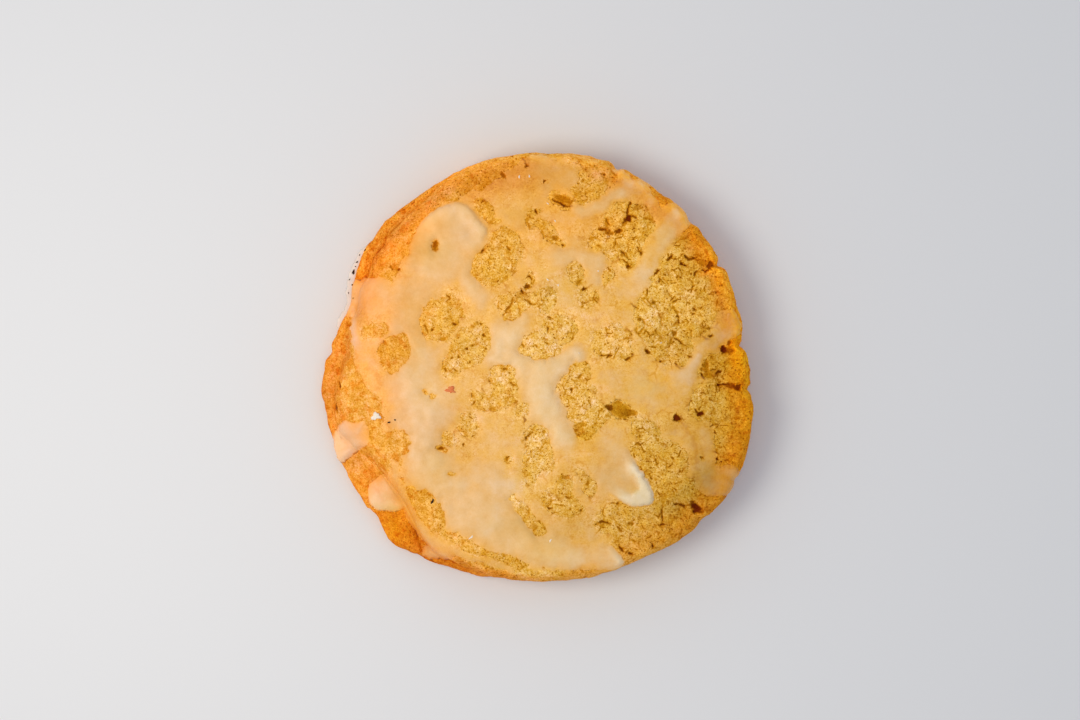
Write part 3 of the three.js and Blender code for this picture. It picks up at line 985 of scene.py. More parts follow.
@dataclass
class GlazePlan:
    """Where the glaze lies and how thick it is.

    Attributes:
        plan: The plan to draw on.
        grain: The noise for its uneven thickness.
        reach: How far out the film goes every 15 degrees, from +X towards +Y.
        film: How thick the film is.
        thinnest: How thin it gets.
        ragged: How far the edge wanders, and over what distance.
    """

    plan: Plan
    grain: Grain
    reach: Row = (
        *(37.5, 36.5, 36, 38, 43.4, 41.5, 42.2, 37.6, 37.2, 35.2, 33.6, 38.2),
        *(36.2, 32, 35.5, 36, 38.5, 39.8, 40.6, 40.5, 37, 33, 40.5, 37),
    )
    film: float = 0.16
    thinnest: float = 0.05
    ragged: Rows = ((0.4, 2.6), (0.32, 1.3), (0.2, 0.7))

    # A depth inside crumb or run that stands for being well outside it
    OUTSIDE: ClassVar[float] = -4.0

    def __post_init__(self) -> None:
        """Draws the fields: cover, crumb and thickness."""
        plan, grain = self.plan, self.grain
        bent = plan.bent
        radius = np.hypot(bent[..., 0], bent[..., 1])
        angle = np.arctan2(bent[..., 1], bent[..., 0])
        film = closed_spline(self.reach)(angle).astype(np.float32) - radius
        self.crumb = plan.blank(self.OUTSIDE)
        for oval in BARE_PATCHES:
            part = oval.window(plan)
            draw_over(self.crumb, part, oval.depth_inside(bent[part]))
        part = BARE_STRIP.window(plan)
        draw_over(self.crumb, part, BARE_STRIP.measure(bent[part])[0])
        over = plan.blank(self.OUTSIDE)
        cream = plan.blank()
        for run in POURED_RUNS:
            part = run.window(plan)
            depth, share = run.measure(bent[part])
            if run.crosses:
                draw_over(over, part, depth)
            draw_over(cream, part, run.height * ease(-0.05, 0.8, share))
        for pool in POOLS:
            part = pool.window(plan)
            depth, thickness = pool.measure(plan.frayed[part])
            draw_over(over, part, depth)
            draw_over(cream, part, thickness)
        ragged = sum(reach * grain(plan.xy, size) for reach, size in self.ragged)
        self.cover = np.maximum(np.minimum(film, -self.crumb) + ragged, over + 0.3 * ragged)
        self.crumb = np.minimum(self.crumb, -over)
        slow = self.film * (1 + 0.5 * grain(plan.xy, 6.5) + 0.3 * grain(plan.xy, 2.4))
        thinned = 0.65 + 0.35 * ease(0, 2.0, self.cover)
        self.thickness = np.maximum(slow, self.thinnest) * thinned + cream


# ---- The crumb on the plan ----

# Holes, by how dark they look, which is partly browner crumb and partly painted shade: depth, then x, y,
# length, width and heading
PITS: dict[Tone, Rows] = {
    Tone.DENT: (
        (0.15, -21, 22, 1.6, 1.2), (0.2, 0.5, 16.4, 1.2, 0.8, -20), (0.4, 8.9, -11.8, 1.7, 2.6, -20),
        (0.25, -9.2, -2.8, 1.4, 1), (0.25, -13, -5.7, 1.3, 1), (0.25, -8.8, -8.5, 1.7, 1.2),
        (0.2, -6, -6.6, 1.6, 0.9, 40), (0.5, 6, -21.9, 1.9, 1.2), (0.15, 7, -34, 0.8, 1.2),
    ),
    Tone.LIGHT: (
        (0.4, -18.8, 5.6, 1.6, 0.9), (0.4, 17.6, 28.8, 1.8, 0.9, 55), (0.3, 14.1, 28.9, 1, 2.4),
        (0.5, 16.9, -8.7, 5.4, 3.3, -18), (0.5, 16.2, -7.7, 2.4, 2.2), (0.4, 19, -9.1, 2.6, 1.4, -12),
        (0.4, 9.1, -11.4, 1, 1), (0.4, 1.5, -13, 1, 0.8), (0.35, 5.2, 33.6, 4.4, 1.5, -20),
        (0.5, 34, 0.1, 1.1, 3.4), (0.5, 34.4, -1.6, 2.2, 1.6, -10), (0.3, -37.6, 8.5, 1.3, 0.9, 30),
        (0.3, -39.3, 3.3, 0.8, 0.5), (0.3, -39.5, -0.4, 0.7, 0.5),
    ),
    Tone.MEDIUM: (
        (0.4, -20.2, 24.4, 2.3, 1.3, 90), (0.5, -2.8, 15.2, 1.3, 0.8, -60), (0.5, 3.8, 25.8, 1.7, 1.1, -20),
        (0.4, -6.7, 38.3, 1.6, 0.7, -50), (0.7, 14.5, 27, 2.2, 1.2, -10), (0.6, 27.4, 6.8, 1.1, 1.3),
        (0.7, 38.7, 4.9, 1.3, 1.1), (0.8, 38.8, 3.4, 2.4, 1.8, 20), (0.8, 39, -3.7, 3.4, 1.1, -8),
        (0.55, 18, -9.3, 2.8, 2, 8), (0.6, 8.8, -1.9, 2, 0.9, 30), (0.3, -22.3, -5.1, 0.5, 0.4),
        (0.3, -20.3, 10.2, 0.9, 0.4), (0.3, -18.3, -0.6, 1, 0.5, -60), (0.3, -2.6, 4.4, 0.7, 0.9),
        (0.3, 2.2, 4.6, 0.9, 0.6), (0.3, -0.1, 4.1, 0.5, 0.5), (0.3, -12.5, -7.2, 0.5, 0.9, -10),
        (0.3, -11.3, -7, 0.5, 0.5), (0.4, -6.2, -0.5, 1.1, 0.6), (0.6, -19.1, -16.2, 1.5, 0.9, -10),
        (0.5, 33.3, -18.2, 0.9, 0.8), (0.5, 18.9, -31.4, 1.3, 1), (0.5, 16.2, -27.4, 0.8, 0.7),
        (0.4, -42.5, -5, 1.2, 0.8), (0.4, -28.9, 19.9, 1.2, 0.5, -20), (0.4, -27.3, 19.4, 0.8, 0.4, 10),
    ),
    Tone.DARK: (
        (0.4, -16.4, 8.7, 0.8, 0.6), (0.4, -20.8, 7.4, 0.5, 0.9), (0.6, -1.9, 16.1, 1.4, 1, 40),
        (0.5, 5.2, 24.4, 0.8, 0.6), (0.4, 1.8, 37.2, 0.7, 0.4), (0.5, -2, 40.2, 1, 0.7, 40),
        (0.4, 13.6, 38.3, 0.5, 0.8), (0.6, 16.5, 27.2, 1.7, 0.9, 10), (0.6, 18.5, 20.3, 0.9, 1.3, 20),
        (0.4, 20.9, 22.7, 0.6, 0.9), (0.5, 24, 19, 0.9, 1.2), (0.8, 34.7, 20.5, 1.5, 1.9),
        (0.4, 30.8, 18.4, 0.5, 0.5), (0.4, 36, 14.9, 0.4, 0.4), (0.5, 28.2, 10.4, 0.8, 0.7),
        (0.7, 22.2, 3.1, 1.7, 0.8, -60), (0.4, 34.9, 6.2, 0.7, 0.5), (0.6, 36.5, -1.1, 2.1, 1, 45),
        (0.9, 40.6, -4.1, 1.8, 1.4), (0.6, 14.6, -8.2, 2.2, 1.3, -30), (0.5, 31.9, -8.9, 1.2, 0.6, -30),
        (0.4, 35.4, -11.7, 0.7, 0.4), (0.6, 7, -4.6, 0.7, 1.2), (0.4, 6.2, -7.9, 0.5, 0.4),
        (0.3, -19.1, 6.6, 0.5, 0.5), (0.3, -11.1, 8.6, 0.8, 0.4, -40), (0.3, -10.8, 6.4, 0.5, 0.9),
        (0.3, -14, 3.6, 0.8, 0.5, -45), (0.3, -13, 4.3, 0.5, 0.4), (0.3, -15.6, 2, 0.9, 0.5, -50),
        (0.3, -17, 1.9, 0.5, 0.5), (0.3, -13.4, 0.9, 0.6, 0.5), (0.3, -16.3, -0.7, 1, 0.4, -35),
        (0.3, -1.9, 5.7, 0.6, 0.5), (0.4, -5.3, -1.2, 0.5, 0.4), (0.5, -2.1, -14.2, 0.6, 1.1, -20),
        (0.4, -14.6, -15.6, 0.6, 0.5), (0.4, 13, 2.3, 0.7, 0.5), (0.4, 14.6, 2.1, 0.7, 0.5),
        (0.5, 18.4, 1.6, 1.5, 0.6, 15), (0.7, 31.3, -27, 1, 0.7), (0.6, 32.9, -29.2, 1, 0.5),
        (0.5, 25, -29, 0.6, 1.1), (0.4, 25, -31.6, 0.9, 0.5),
    ),
    Tone.BLACK: (
        (0.8, 9.7, 15.5, 1.3, 0.8), (0.8, 18.4, 29.8, 1.9, 1.6, 50), (0.4, 24.8, 1.1, 0.35, 0.35),
        (1, 37.5, 3.4, 2, 1.5, -40), (0.6, 36.6, -3.6, 0.9, 0.7), (0.8, 28.1, -10.1, 1.9, 1.1, -38),
        (0.8, 32.8, -9.4, 1.9, 1.1, -8), (0.3, -10.1, 3.7, 0.5, 0.5), (0.4, 36.2, -18.4, 0.5, 0.5),
        (0.4, 36.8, -18.8, 0.6, 0.4), (1.1, 32, -28.2, 3.1, 2, -50),
    ),
}

# A crack's darkness is partly browner crumb and partly painted shade in it
# Cracks, by how dark they look: width, then x and y of each place along them. That width is of the
# dark line alone; with its crumbling edges a crack is CRUMBLED times as wide.
CRUMBLED = 1.3
CRACKS: dict[Tone, Rows] = {
    Tone.DENT: (
        (0.9, 28.9, -11, 30.1, -12.5, 31.3, -14.3, 32, -17, 32, -20.5),
        (0.9, 33, -0.2, 34, -1, 35, -1.2, 36, -0.6),
    ),
    Tone.LIGHT: (
        (0.3, -3.6, 12.6, -3.4, 11.4, -3.2, 10.5), (0.38, 21.2, 9.7, 21.6, 8.6, 22.4, 8.2, 22.9, 8.4),
        (0.38, 21.8, 8.2, 21, 7.1, 20.1, 6.7, 20.8, 5.9, 21.3, 5.2), (0.3, 20, 8, 20.1, 6.8),
        (0.38, 24.4, 10.9, 25, 9.9, 24.8, 8.8, 25.2, 8), (0.38, 28.4, 9.6, 28.3, 8.9, 27.6, 8.3),
        (0.35, 27.4, 6.4, 27.1, 5.4, 26.2, 3.9), (0.25, 21.8, 14.3, 22.5, 13, 23.2, 11.7),
        (0.25, 22.9, 14, 23.8, 12.5, 24.4, 11), (0.25, 20.7, 14.4, 21.4, 13.4, 22.4, 12),
        (0.3, 22, 6.1, 23.2, 7.1, 24.6, 6.4, 25.2, 5.8), (0.3, 33, 13.9, 33.9, 13.2),
        (0.35, 26.8, 12, 27.4, 11.4), (0.3, 25.2, 18, 26, 17.2, 26.4, 16.2),
        (0.3, 30.4, 17.6, 31.2, 16.8, 31.5, 16.2), (0.38, 30.6, 26, 28.6, 25.4, 27.2, 24.6),
        (0.3, 15, 20.6, 16.4, 21.4, 17.4, 21.6), (0.3, 20.6, 30.2, 22, 29.8, 23.8, 29.2),
        (0.3, 10.2, 25.6, 11.6, 26, 12.9, 25.2), (0.3, 16.6, 5.2, 18, 5.8, 19.6, 5.4),
        (0.3, 23.4, -13.4, 24.4, -15, 25.8, -15.6), (0.3, 24.6, -18, 26, -19.2, 26.2, -21),
        (0.35, 34.6, -6.4, 35.6, -7, 36.8, -6.8), (0.3, 34.8, -9.4, 35.6, -8.6, 35.2, -7.6),
    ),
    Tone.MEDIUM: (
        (0.3, -22.6, 9.5, -22.4, 8.3, -21.9, 7.2, -21.8, 6.6), (0.3, -2.8, 41.6, -2.1, 40.6),
        (0.35, 27, 5.6, 26.8, 4.4, 26.2, 3.9), (0.5, 27.7, 0.9, 28.2, 0, 28.8, -0.3, 29.4, -0.1),
        (0.4, -5.2, -3.3, -4.3, -3.6), (0.3, 5.2, -25.9, 5.8, -25.9, 6.5, -26.4, 7.2, -26),
        (0.35, -4.6, 14, -5.4, 12.2, -6.2, 10.9, -7, 10), (0.35, -2.3, 13.6, -1.2, 12.6, 0, 12.5),
        (0.35, -5.9, 24.3, -5.3, 23.2), (0.35, -36.9, -19.2, -36.4, -20.3),
    ),
    Tone.DARK: (
        (0.35, -11, 22.7, -10.9, 23.3, -10.4, 23.6),
        (0.35, -18.1, 13.1, -17.4, 13.5, -17.4, 14.1, -17.9, 14.4), (0.5, -3.2, 15.9, -2.8, 15.2, -2.4, 14.7),
        (0.3, -1, 16.8, -0.9, 17.6, -1.4, 18.2, -2, 17.8), (0.35, 10.3, 15.9, 11.2, 16.7),
        (0.35, -0.3, 31.6, 0.2, 30.5), (0.45, 17.3, 28.8, 18, 29.6, 18.3, 31, 18.5, 32.4, 18.8, 33.2),
        (0.4, 18.6, 29.9, 19.4, 30.1, 20.1, 29.8), (0.4, 12.4, 27.6, 13.8, 27.5, 14.6, 26.9),
        (0.4, 14.7, 28.2, 14, 29.6), (0.45, 15.3, 27.1, 16.9, 27.2), (0.3, 17.2, 21.6, 18.2, 20.9),
        (0.35, 16.6, 23.4, 17.6, 22.6, 18, 21.8), (0.35, 20.1, 24, 20.8, 22.9),
        (0.4, 24.6, 19.4, 23.7, 18.7, 23.5, 18.2), (0.35, 24.6, 18, 24.5, 16.9),
        (0.45, 26.3, 21.4, 27.4, 22.5), (0.5, 29.4, 22.4, 30.2, 21.9, 31, 21.5, 32, 22),
        (0.4, 33.2, 19.3, 33.9, 18.9, 34.5, 19.5), (0.35, 32.3, 19.3, 31.8, 18.8, 31.5, 18.3),
        (0.4, 31.6, 16.4, 31, 14.9), (0.35, 18.8, 12.7, 19.6, 12.1, 20.3, 11.7),
        (0.35, 26.4, 14.9, 27.1, 13.9), (0.35, 30.1, 13, 30.8, 12.7),
        (0.35, 28.2, 11.2, 28.5, 9.7, 28.4, 8.7), (0.35, 27.3, 6, 28.5, 5.2, 29.6, 4.2),
        (0.35, 33, 6.6, 33.7, 5.8, 34.5, 5.4), (0.5, 32.9, -1.4, 33.8, -2.6),
        (0.5, 36.9, -3.6, 38.5, -3.4, 39.8, -4, 41.2, -4.2), (0.35, -11, -4.2, -10.6, -4.8, -10.2, -5.2),
        (0.35, -2.8, -10, -2.2, -10.5, -2.7, -11), (0.35, -2.8, -14.7, -2.1, -14.2, -1.5, -13.6, -0.6, -13),
        (0.35, 12.8, 2.4, 14, 2.3, 15, 2.2), (0.3, 37.8, -18.7, 38.4, -18.9),
        (0.4, 27.6, -27.4, 28.6, -27.5, 29.6, -27.8, 29.7, -28.4),
        (0.3, 25.1, -27.5, 25.1, -28.5, 25, -30, 25.1, -32.3), (0.35, 16.4, -35.7, 17.2, -36.8),
        (0.4, 18.4, -37, 19.2, -37.5), (0.35, 23, -35.1, 23.2, -35.7),
        (0.3, 1.9, -27.8, 2.6, -28.4, 3.1, -28.1), (0.35, 9.2, -28.3, 8.8, -28.9),
        (0.3, -6, -18.8, -5.9, -18.2, -5.4, -18), (0.35, 31.2, 11.8, 31.9, 11.4),
        (0.35, 31.1, 10.4, 31.7, 10.8), (0.35, 2.2, 10, 3.1, 9.8), (0.35, 2.2, 8.1, 2.3, 7),
        (0.45, 3.2, 33.5, 4.4, 32.9, 5.6, 32.3, 7.4, 32.1), (0.35, -39.6, -2.6, -39.2, -4.2),
        (0.35, -40, -7.4, -40.1, -9), (0.55, -24.5, -32.5, -23.7, -35, -23, -36.8),
        (0.35, 11.7, -31.4, 13, -30.9, 15, -31.2),
    ),
    Tone.BLACK: (
        (0.45, 28.8, 21.4, 29.1, 20.7, 29.9, 20.3),
    ),
}


@dataclass
class CrumbPlan:
    """Holes, cracks and pores in the crumb, as fields over the plan.

    Attributes:
        plan: The plan to draw on.
        glaze: Where the glaze lies; grown cracks and pores only open in bare crumb.
        seed: For those.
        grown_cracks: How many cracks are tried.
        pores: How many pores are tried.
        span: How far from the middle they lie.
        crossing: The share of grown cracks that cross the others.
        step: The length of a crack's stretches.
        fray: How frayed a hole's edge is.
        fray_light: How frayed a light hollow's is.
        shallow: How deep grown cracks and pores are beside placed ones.
    """

    plan: Plan
    glaze: GlazePlan
    seed: int = 11
    grown_cracks: int = 420
    pores: int = 3000
    span: float = 44.0
    crossing: float = 0.3
    step: float = 0.5
    fray: float = 1.6
    fray_light: float = 0.4
    shallow: float = 0.55

    # A crack's heading in degrees and how much that varies, and the least and greatest width
    HEADING: ClassVar[tuple[float, float]] = (-46, 24)
    WIDTHS: ClassVar[tuple[float, float]] = (0.1, 0.28)
    # The share of tried cracks that open right of each x, and how much fewer do near the viewer
    SHARES: ClassVar[Rows] = ((14, 0.6), (-24, 0.35), (-math.inf, 0.04))
    NEAR_Y: ClassVar[float] = -8
    NEAR_SHARE: ClassVar[float] = 0.45

    def __post_init__(self) -> None:
        """Draws how deep the surface is cut and how dark it looks."""
        plan = self.plan
        self.sunk = plan.blank()
        self.dark = plan.blank()
        self.hole = plan.blank(-1.0)
        draw = np.random.default_rng(self.seed)
        for tone, rows in PITS.items():
            for depth, *oval in rows:
                self._dig(Oval(*oval), tone, depth)
        for tone, rows in CRACKS.items():
            for width, *line in rows:
                crack = Crack(tuple(zip(line[::2], line[1::2])), CRUMBLED * width, tone)
                crack.draw(plan, self.sunk, self.dark)
        sunk, dark = plan.blank(), plan.blank()
        for crack in self._grow(draw):
            crack.draw(plan, sunk, dark)
        self._open_pores(draw, sunk, dark)
        bare = ease(-0.1, 0.5, -self.glaze.cover)
        self.sunk = np.maximum(self.sunk, self.shallow * sunk * bare)
        self.dark = np.maximum(self.dark, dark * bare)

    def _dig(self, oval: Oval, tone: Tone, depth: float) -> None:
        """Cuts a hole into the fields.

        Args:
            oval: Its outline.
            tone: How dark it looks.
            depth: How deep it is.
        """
        part = oval.window(self.plan)
        even = self.plan.xy[part]
        fray = self.fray_light if tone is Tone.LIGHT else self.fray
        xy = even + fray * (self.plan.frayed[part] - even)
        fill = np.clip(1 - oval.spread(xy) ** 2, 0, 1)
        draw_over(self.sunk, part, depth * np.sqrt(fill))
        draw_over(self.dark, part, tone.value * ease(0.0, 0.6, fill))
        if tone is not Tone.DENT:
            draw_over(self.hole, part, oval.depth_inside(xy))

    def _grow(self, draw: np.random.Generator) -> list[Crack]:
        """Grows thin cracks that wander across the bare crumb, most of them on the right.

        Args:
            draw: The random draws.

        Returns:
            The cracks.
        """
        cracks = []
        places = draw.uniform(-self.span, self.span, size=(self.grown_cracks, 2))
        bare = self.plan.read(-self.glaze.cover, places)
        for place, bareness in zip(places, bare):
            steps = int(draw.integers(3, 10))
            heading = math.radians(draw.normal(*self.HEADING) + (90 if draw.random() < self.crossing else 0))
            turns = draw.normal(0, 0.5, size=steps)
            width = float(draw.uniform(*self.WIDTHS))
            keep = draw.random()
            share = next(share for x, share in self.SHARES if place[0] > x)
            if place[1] < self.NEAR_Y:
                share *= self.NEAR_SHARE
            if bareness < 0.3 or keep > share:
                continue
            points = [tuple(place)]
            for turn in turns:
                heading += float(turn)
                x, y = points[-1]
                points.append((x + self.step * math.cos(heading), y + self.step * math.sin(heading)))
                heading -= 0.6 * float(turn)
            tone = Tone.MEDIUM if width > 0.25 else Tone.LIGHT if width > 0.17 else Tone.DENT
            cracks.append(Crack(tuple(points), width, tone))
        return cracks

    def _open_pores(self, draw: np.random.Generator, sunk: Array, dark: Array) -> None:
        """Opens small round pores in the crumb, no dark ones on the far left.

        Args:
            draw: The random draws.
            sunk: How deep the surface is cut.
            dark: How dark it is, partly painted shade in the pores.
        """
        count = self.pores
        places = draw.uniform(-self.span, self.span, size=(count, 2))
        sizes = draw.uniform(0.16, 0.42, size=(count, 2)) * draw.uniform(0.6, 1, size=(count, 1))
        headings = draw.uniform(0, 180, size=count)
        tones = 0.92 * draw.uniform(0.2, 0.98, size=count) ** 1.7
        bare = self.plan.read(-self.glaze.cover, places)
        for place, size, heading, tone, bareness in zip(places, sizes, headings, tones, bare):
            if bareness < 0.15 or (place[0] < -26 and tone > 0.3):
                continue
            oval = Oval(*place, *size, heading)
            part = self.plan.window(place[None], 0.6)
            fill = np.clip(1.3 - oval.spread(self.plan.frayed[part]), 0, 1)
            draw_over(sunk, part, 0.5 * tone * size.max() * fill)
            draw_over(dark, part, tone * ease(0, 0.8, fill))


# ---- The cookie's surface, shared by its body and its glaze ----


@dataclass
class Surface:
    """The fine mesh of the cookie, with what happens at each of its points.

    Attributes:
        form: The baked mound.
        plan: The plan of its marks.
        glaze: Where the glaze lies.
        crumb: Where the crumb is open.
        grain: The noise of crumb and glaze.
        smooth_spacing: The mesh's edge length in smooth glaze; the others are for other places.
        glaze_sinks: How far glazed crumb lies lower, out of the glaze's way.
        patch_rise: How far a bare patch stands out.
        rim_roll: How far in the glaze's edge is rounded.
        run_height: The share of a thin run's thickness that shows above the film.
        bumps: The height and spacing of the crumb's fine bumps.
        crease: How sharp the line between crown and foot is every 15 degrees, as a cut and as painted shade
            along it; dough fills it below 0.
    """

    form: CookieForm
    plan: Plan
    glaze: GlazePlan
    crumb: CrumbPlan
    grain: Grain
    smooth_spacing: float = 0.62
    crumb_spacing: float = 0.36
    edge_spacing: float = 0.34
    crack_spacing: float = 0.2
    side_spacing: float = 0.6
    bottom_spacing: float = 2.6
    glaze_sinks: float = 0.26
    patch_rise: float = 0.05
    rim_roll: float = 1.0
    run_height: float = 0.55
    bumps: Rows = ((0.1, 1.7), (0.075, 0.9), (0.04, 0.5))
    crease: Row = (
        *(0, 0, 0, 0, 0, 0, 0, 0.6, 1, 1, 0.8, 0.3),
        *(0.1, 0.15, -1.5, -0.2, 1, 0.8, 0, 0, 0, 0, 0, 0),
    )

    def __post_init__(self) -> None:
        """Makes the mesh and works out the heights of crumb and glaze over it."""
        self.skin = Skin(self.form)
        self.skin.lay()
        self.wanted = self._wanted_spacing()
        self.skin.refine(self._spacing)
        self.rest = self.skin.points()
        self.normal = self.skin.normals(self.rest)
        self.xy = on_plan(self.rest)
        self.cover = self._cover()
        self.crumb_height, self.dark = self._crumb_height()
        self.glaze_height, self.thick = self._glaze_height()

    def _wanted_spacing(self) -> Array:
        """Works out the wanted edge length, shortest at cracks and at the glaze's edge.

        Returns:
            The length over the plan.
        """
        wanted = self.plan.blank(self.smooth_spacing)
        wanted[self.glaze.cover < 0.3] = self.crumb_spacing
        wanted[np.abs(self.glaze.cover) < 0.45] = self.edge_spacing
        steep = np.hypot(*np.gradient(self.glaze.thickness, Plan.STEP)) > 0.28
        wanted[steep] = np.minimum(wanted[steep], self.edge_spacing)
        wanted[self.crumb.sunk > 0.14] = self.crack_spacing
        for axis in (0, 1):
            for shift in (-1, 1):
                wanted = np.minimum(wanted, np.roll(wanted, shift, axis=axis))
        return wanted

    def _spacing(self, points: Array, station: Array) -> Array:
        """Gives the wanted edge length.

        Args:
            points: Places on the mesh.
            station: Their stations.

        Returns:
            The length at each.
        """
        spacing = self.plan.read(self.wanted, on_plan(points))
        _, ledge, _ = self.form.section(np.arctan2(points[:, 1], points[:, 0]))
        side = station > 1.75
        spacing = np.where(side, np.maximum(spacing, self.side_spacing), spacing)
        spacing = np.where((ledge > 0.8) & side & (station < 3.3), self.edge_spacing, spacing)
        return np.where(station > 5.6, self.bottom_spacing, spacing)

    def _cover(self) -> Array:
        """Works out how deep inside the glaze's edge each point is.

        Returns:
            The depths, negative in bare crumb.
        """
        cover = self.plan.read(self.glaze.cover, self.xy)
        hole = self.plan.read(self.crumb.hole, self.xy)
        angle = self.skin.angle
        ring = np.stack([np.cos(angle), np.sin(angle)], axis=-1) * 40
        drip = 7.2 + 2.2 * self.grain(ring, 9.0) + 0.8 * self.grain(ring, 3.0)
        # On the left the runs go almost down to the table
        turn = np.degrees(angle) % 360
        low = ease(143, 152, turn) * ease(252, 246, turn)
        drip = drip * (1 - low) + 1.4 * low
        cover = np.minimum(np.minimum(cover, -hole), self.rest[:, 2] - drip)
        cover = np.where(self.skin.station > 5.0, -1.0, cover)
        # No point lies right on the edge, where the cut would leave slivers
        return np.where(np.abs(cover) < 0.03, np.copysign(0.03, cover), cover)

    def _crumb_height(self) -> tuple[Array, Array]:
        """Works out the crumb.

        Returns:
            How far it stands off the form at each point, and how dark it is in its holes, splits and crease,
            partly painted shade.
        """
        grain, rest, station = self.grain, self.rest, self.skin.station
        _, ledge, _ = self.form.section(self.skin.angle)
        crease = ease(0.5, 1.6, ledge) * closed_spline(self.crease)(self.skin.angle)
        filled = 0.7 * np.maximum(-crease, 0) * np.exp(-(((station - 2.3) / 0.5) ** 2))
        self.soft = self.form.swell(rest) + 0.2 * grain(rest, 9.0) + 0.12 * grain(rest, 4.0) + filled
        side = ease(0.7, 0.3, self.normal[:, 2])
        # Fine bumps, on lumps that are higher towards the right
        fine = sum(height * grain(rest, size) for height, size in self.bumps)
        fine = fine + 0.16 * grain(rest, 2.7) * (0.6 + ease(8, 22, rest[:, 0]))
        bare = ease(-0.35, 0.2, -self.cover)
        patch = self.plan.read(self.glaze.crumb, self.xy)
        rise = self.patch_rise * ease(-0.6, 1.8, patch) * (1 - side)
        fade = ease(1.5, 7.5, rest[:, 2])
        sunk = self.plan.read(self.crumb.sunk, self.xy) * fade
        dark = self.plan.read(self.crumb.dark, self.xy) * fade
        # Long thin splits in the sides
        split = np.clip(1 - np.abs(grain(rest + 7.0, 5.5)) / 0.055, 0, 1)
        split *= ease(0.05, 0.35, grain(rest - 20.0, 7.0)) * side
        self.plain = self.soft + rise + fine * (0.25 + 0.75 * bare)
        self.plain += side * (0.16 * grain(rest, 2.6) - 0.35 * split)
        # The crumb is lower under glaze, and creased where the crown stands on the foot; the crease is
        # darkened with painted shade, and the side splits partly so
        under = self.glaze_sinks * ease(0.05, 0.5, self.cover)
        crease = np.clip(crease, 0, 1) * np.exp(-(((station - 2.6) / 0.45) ** 2))
        crease *= np.clip(0.75 + 0.6 * grain(rest, 4.0), 0, 1) * bare
        dark = np.maximum(dark, np.maximum(0.75 * ease(0.2, 0.9, split), 0.42 * crease))
        return self.plain - 0.65 * sunk - 0.3 * crease - under, dark

    def _glaze_height(self) -> tuple[Array, Array]:
        """Works out the glaze.

        Returns:
            How far its upper face stands off the form at each point, and its thickness.
        """
        thick = self.plan.read(self.glaze.thickness, self.xy)
        roll = ease(0, self.rim_roll, self.cover)
        raised = thick * (self.run_height + (1 - self.run_height) * ease(0.38, 0.56, thick))
        poured = np.maximum(self.soft + raised, self.plain - 0.1) + 0.03 * self.grain(self.rest, 1.7)
        return (self.plain - 0.03) * (1 - roll) + poured * roll, thick * ease(-0.1, 0.35, self.cover)

    def lifted(self, height: Array) -> Array:
        """Moves the points out from the form, never below the ground.

        Args:
            height: How far to move each.

        Returns:
            The moved points.
        """
        points = self.rest + self.normal * height[:, None]
        points[:, 2] = np.maximum(points[:, 2], 0.0)
        return points


def islands(faces: Array, count: int) -> Array:
    """Finds which connected part of a mesh each point belongs to.

    Args:
        faces: The triangles.
        count: How many points there are.

    Returns:
        A number for each point, the same all over one part.
    """
    part = np.arange(count)
    start, end = faces[:, [0, 1, 1, 2, 2, 0]].reshape(-1, 2).T
    while True:
        low = np.minimum(part[start], part[end])
        fresh = part.copy()
        for reached in (start, end, part[start], part[end]):
            np.minimum.at(fresh, reached, low)
        fresh = fresh[fresh]
        if (fresh == part).all():
            return part
        part = fresh


def make_piece(
    name: str,
    points: Array,
    faces: Array,
    material: bpy.types.Material,
    fields: dict[str, Array] | None = None,
) -> bpy.types.Object:
    """Makes a mesh object in the scene.

    Args:
        name: Its name.
        points: Its points in millimetres.
        faces: Its triangles.
        material: Its material.
        fields: Named values, one a point, for the material.

    Returns:
        The object.
    """
    mesh = bpy.data.meshes.new(name)
    mesh.vertices.add(len(points))
    mesh.vertices.foreach_set("co", (points * MM).astype(np.float32).ravel())
    mesh.loops.add(3 * len(faces))
    mesh.loops.foreach_set("vertex_index", faces.astype(np.int32).ravel())
    mesh.polygons.add(len(faces))
    mesh.polygons.foreach_set("loop_start", np.arange(0, 3 * len(faces), 3, dtype=np.int32))
    mesh.update(calc_edges=True)
    mesh.validate()
    mesh.polygons.foreach_set("use_smooth", np.ones(len(mesh.polygons), dtype=bool))
    for label, values in (fields or {}).items():
        layer = mesh.attributes.new(label, "FLOAT", "POINT")
        layer.data.foreach_set("value", values.astype(np.float32))
    mesh.materials.append(material)
    piece = bpy.data.objects.new(name, mesh)
    bpy.context.scene.collection.objects.link(piece)
    return piece


# ---- Finishes ----

# Settings that nodes share: first times second plus third, one colour laid over another in part
# and one colour multiplied by another
TIMES_PLUS = {"operation": "MULTIPLY_ADD"}
BLEND = {"data_type": "RGBA", "output": 2}
MULTIPLY = BLEND | {"blend_type": "MULTIPLY"}

# What a speckled colour is multiplied by, so that its grain can lighten as well as darken it
SPECKLE = 3.0


def add_node(
    tree: Tree,
    kind: str,
    inputs: Sequence[object] | dict[int | str, object] = (),
    stops: Stops = (),
    output: int | str = 0,
    **settings: object,
) -> Socket:
    """Adds a node to a material.

    Args:
        tree: The material's nodes.
        kind: Its type, without "ShaderNode".
        inputs: What each input takes, in order or by key: a value or another node's output.
        stops: A colour ramp's places and hex colours.
        output: Which output is wanted.
        **settings: Its own settings.

    Returns:
        That output.
    """
    node = tree.nodes.new(f"ShaderNode{kind}")
    for name, value in settings.items():
        setattr(node, name, value)
    for key, value in inputs.items() if isinstance(inputs, dict) else enumerate(inputs):
        if isinstance(value, Socket):
            tree.links.new(value, node.inputs[key])
        else:
            node.inputs[key].default_value = value
    for index, (place, colour) in enumerate(stops):
        elements = node.color_ramp.elements
        element = elements[index] if index < 2 else elements.new(place)
        element.position = place
        element.color = linear(colour)
    return node.outputs[output]


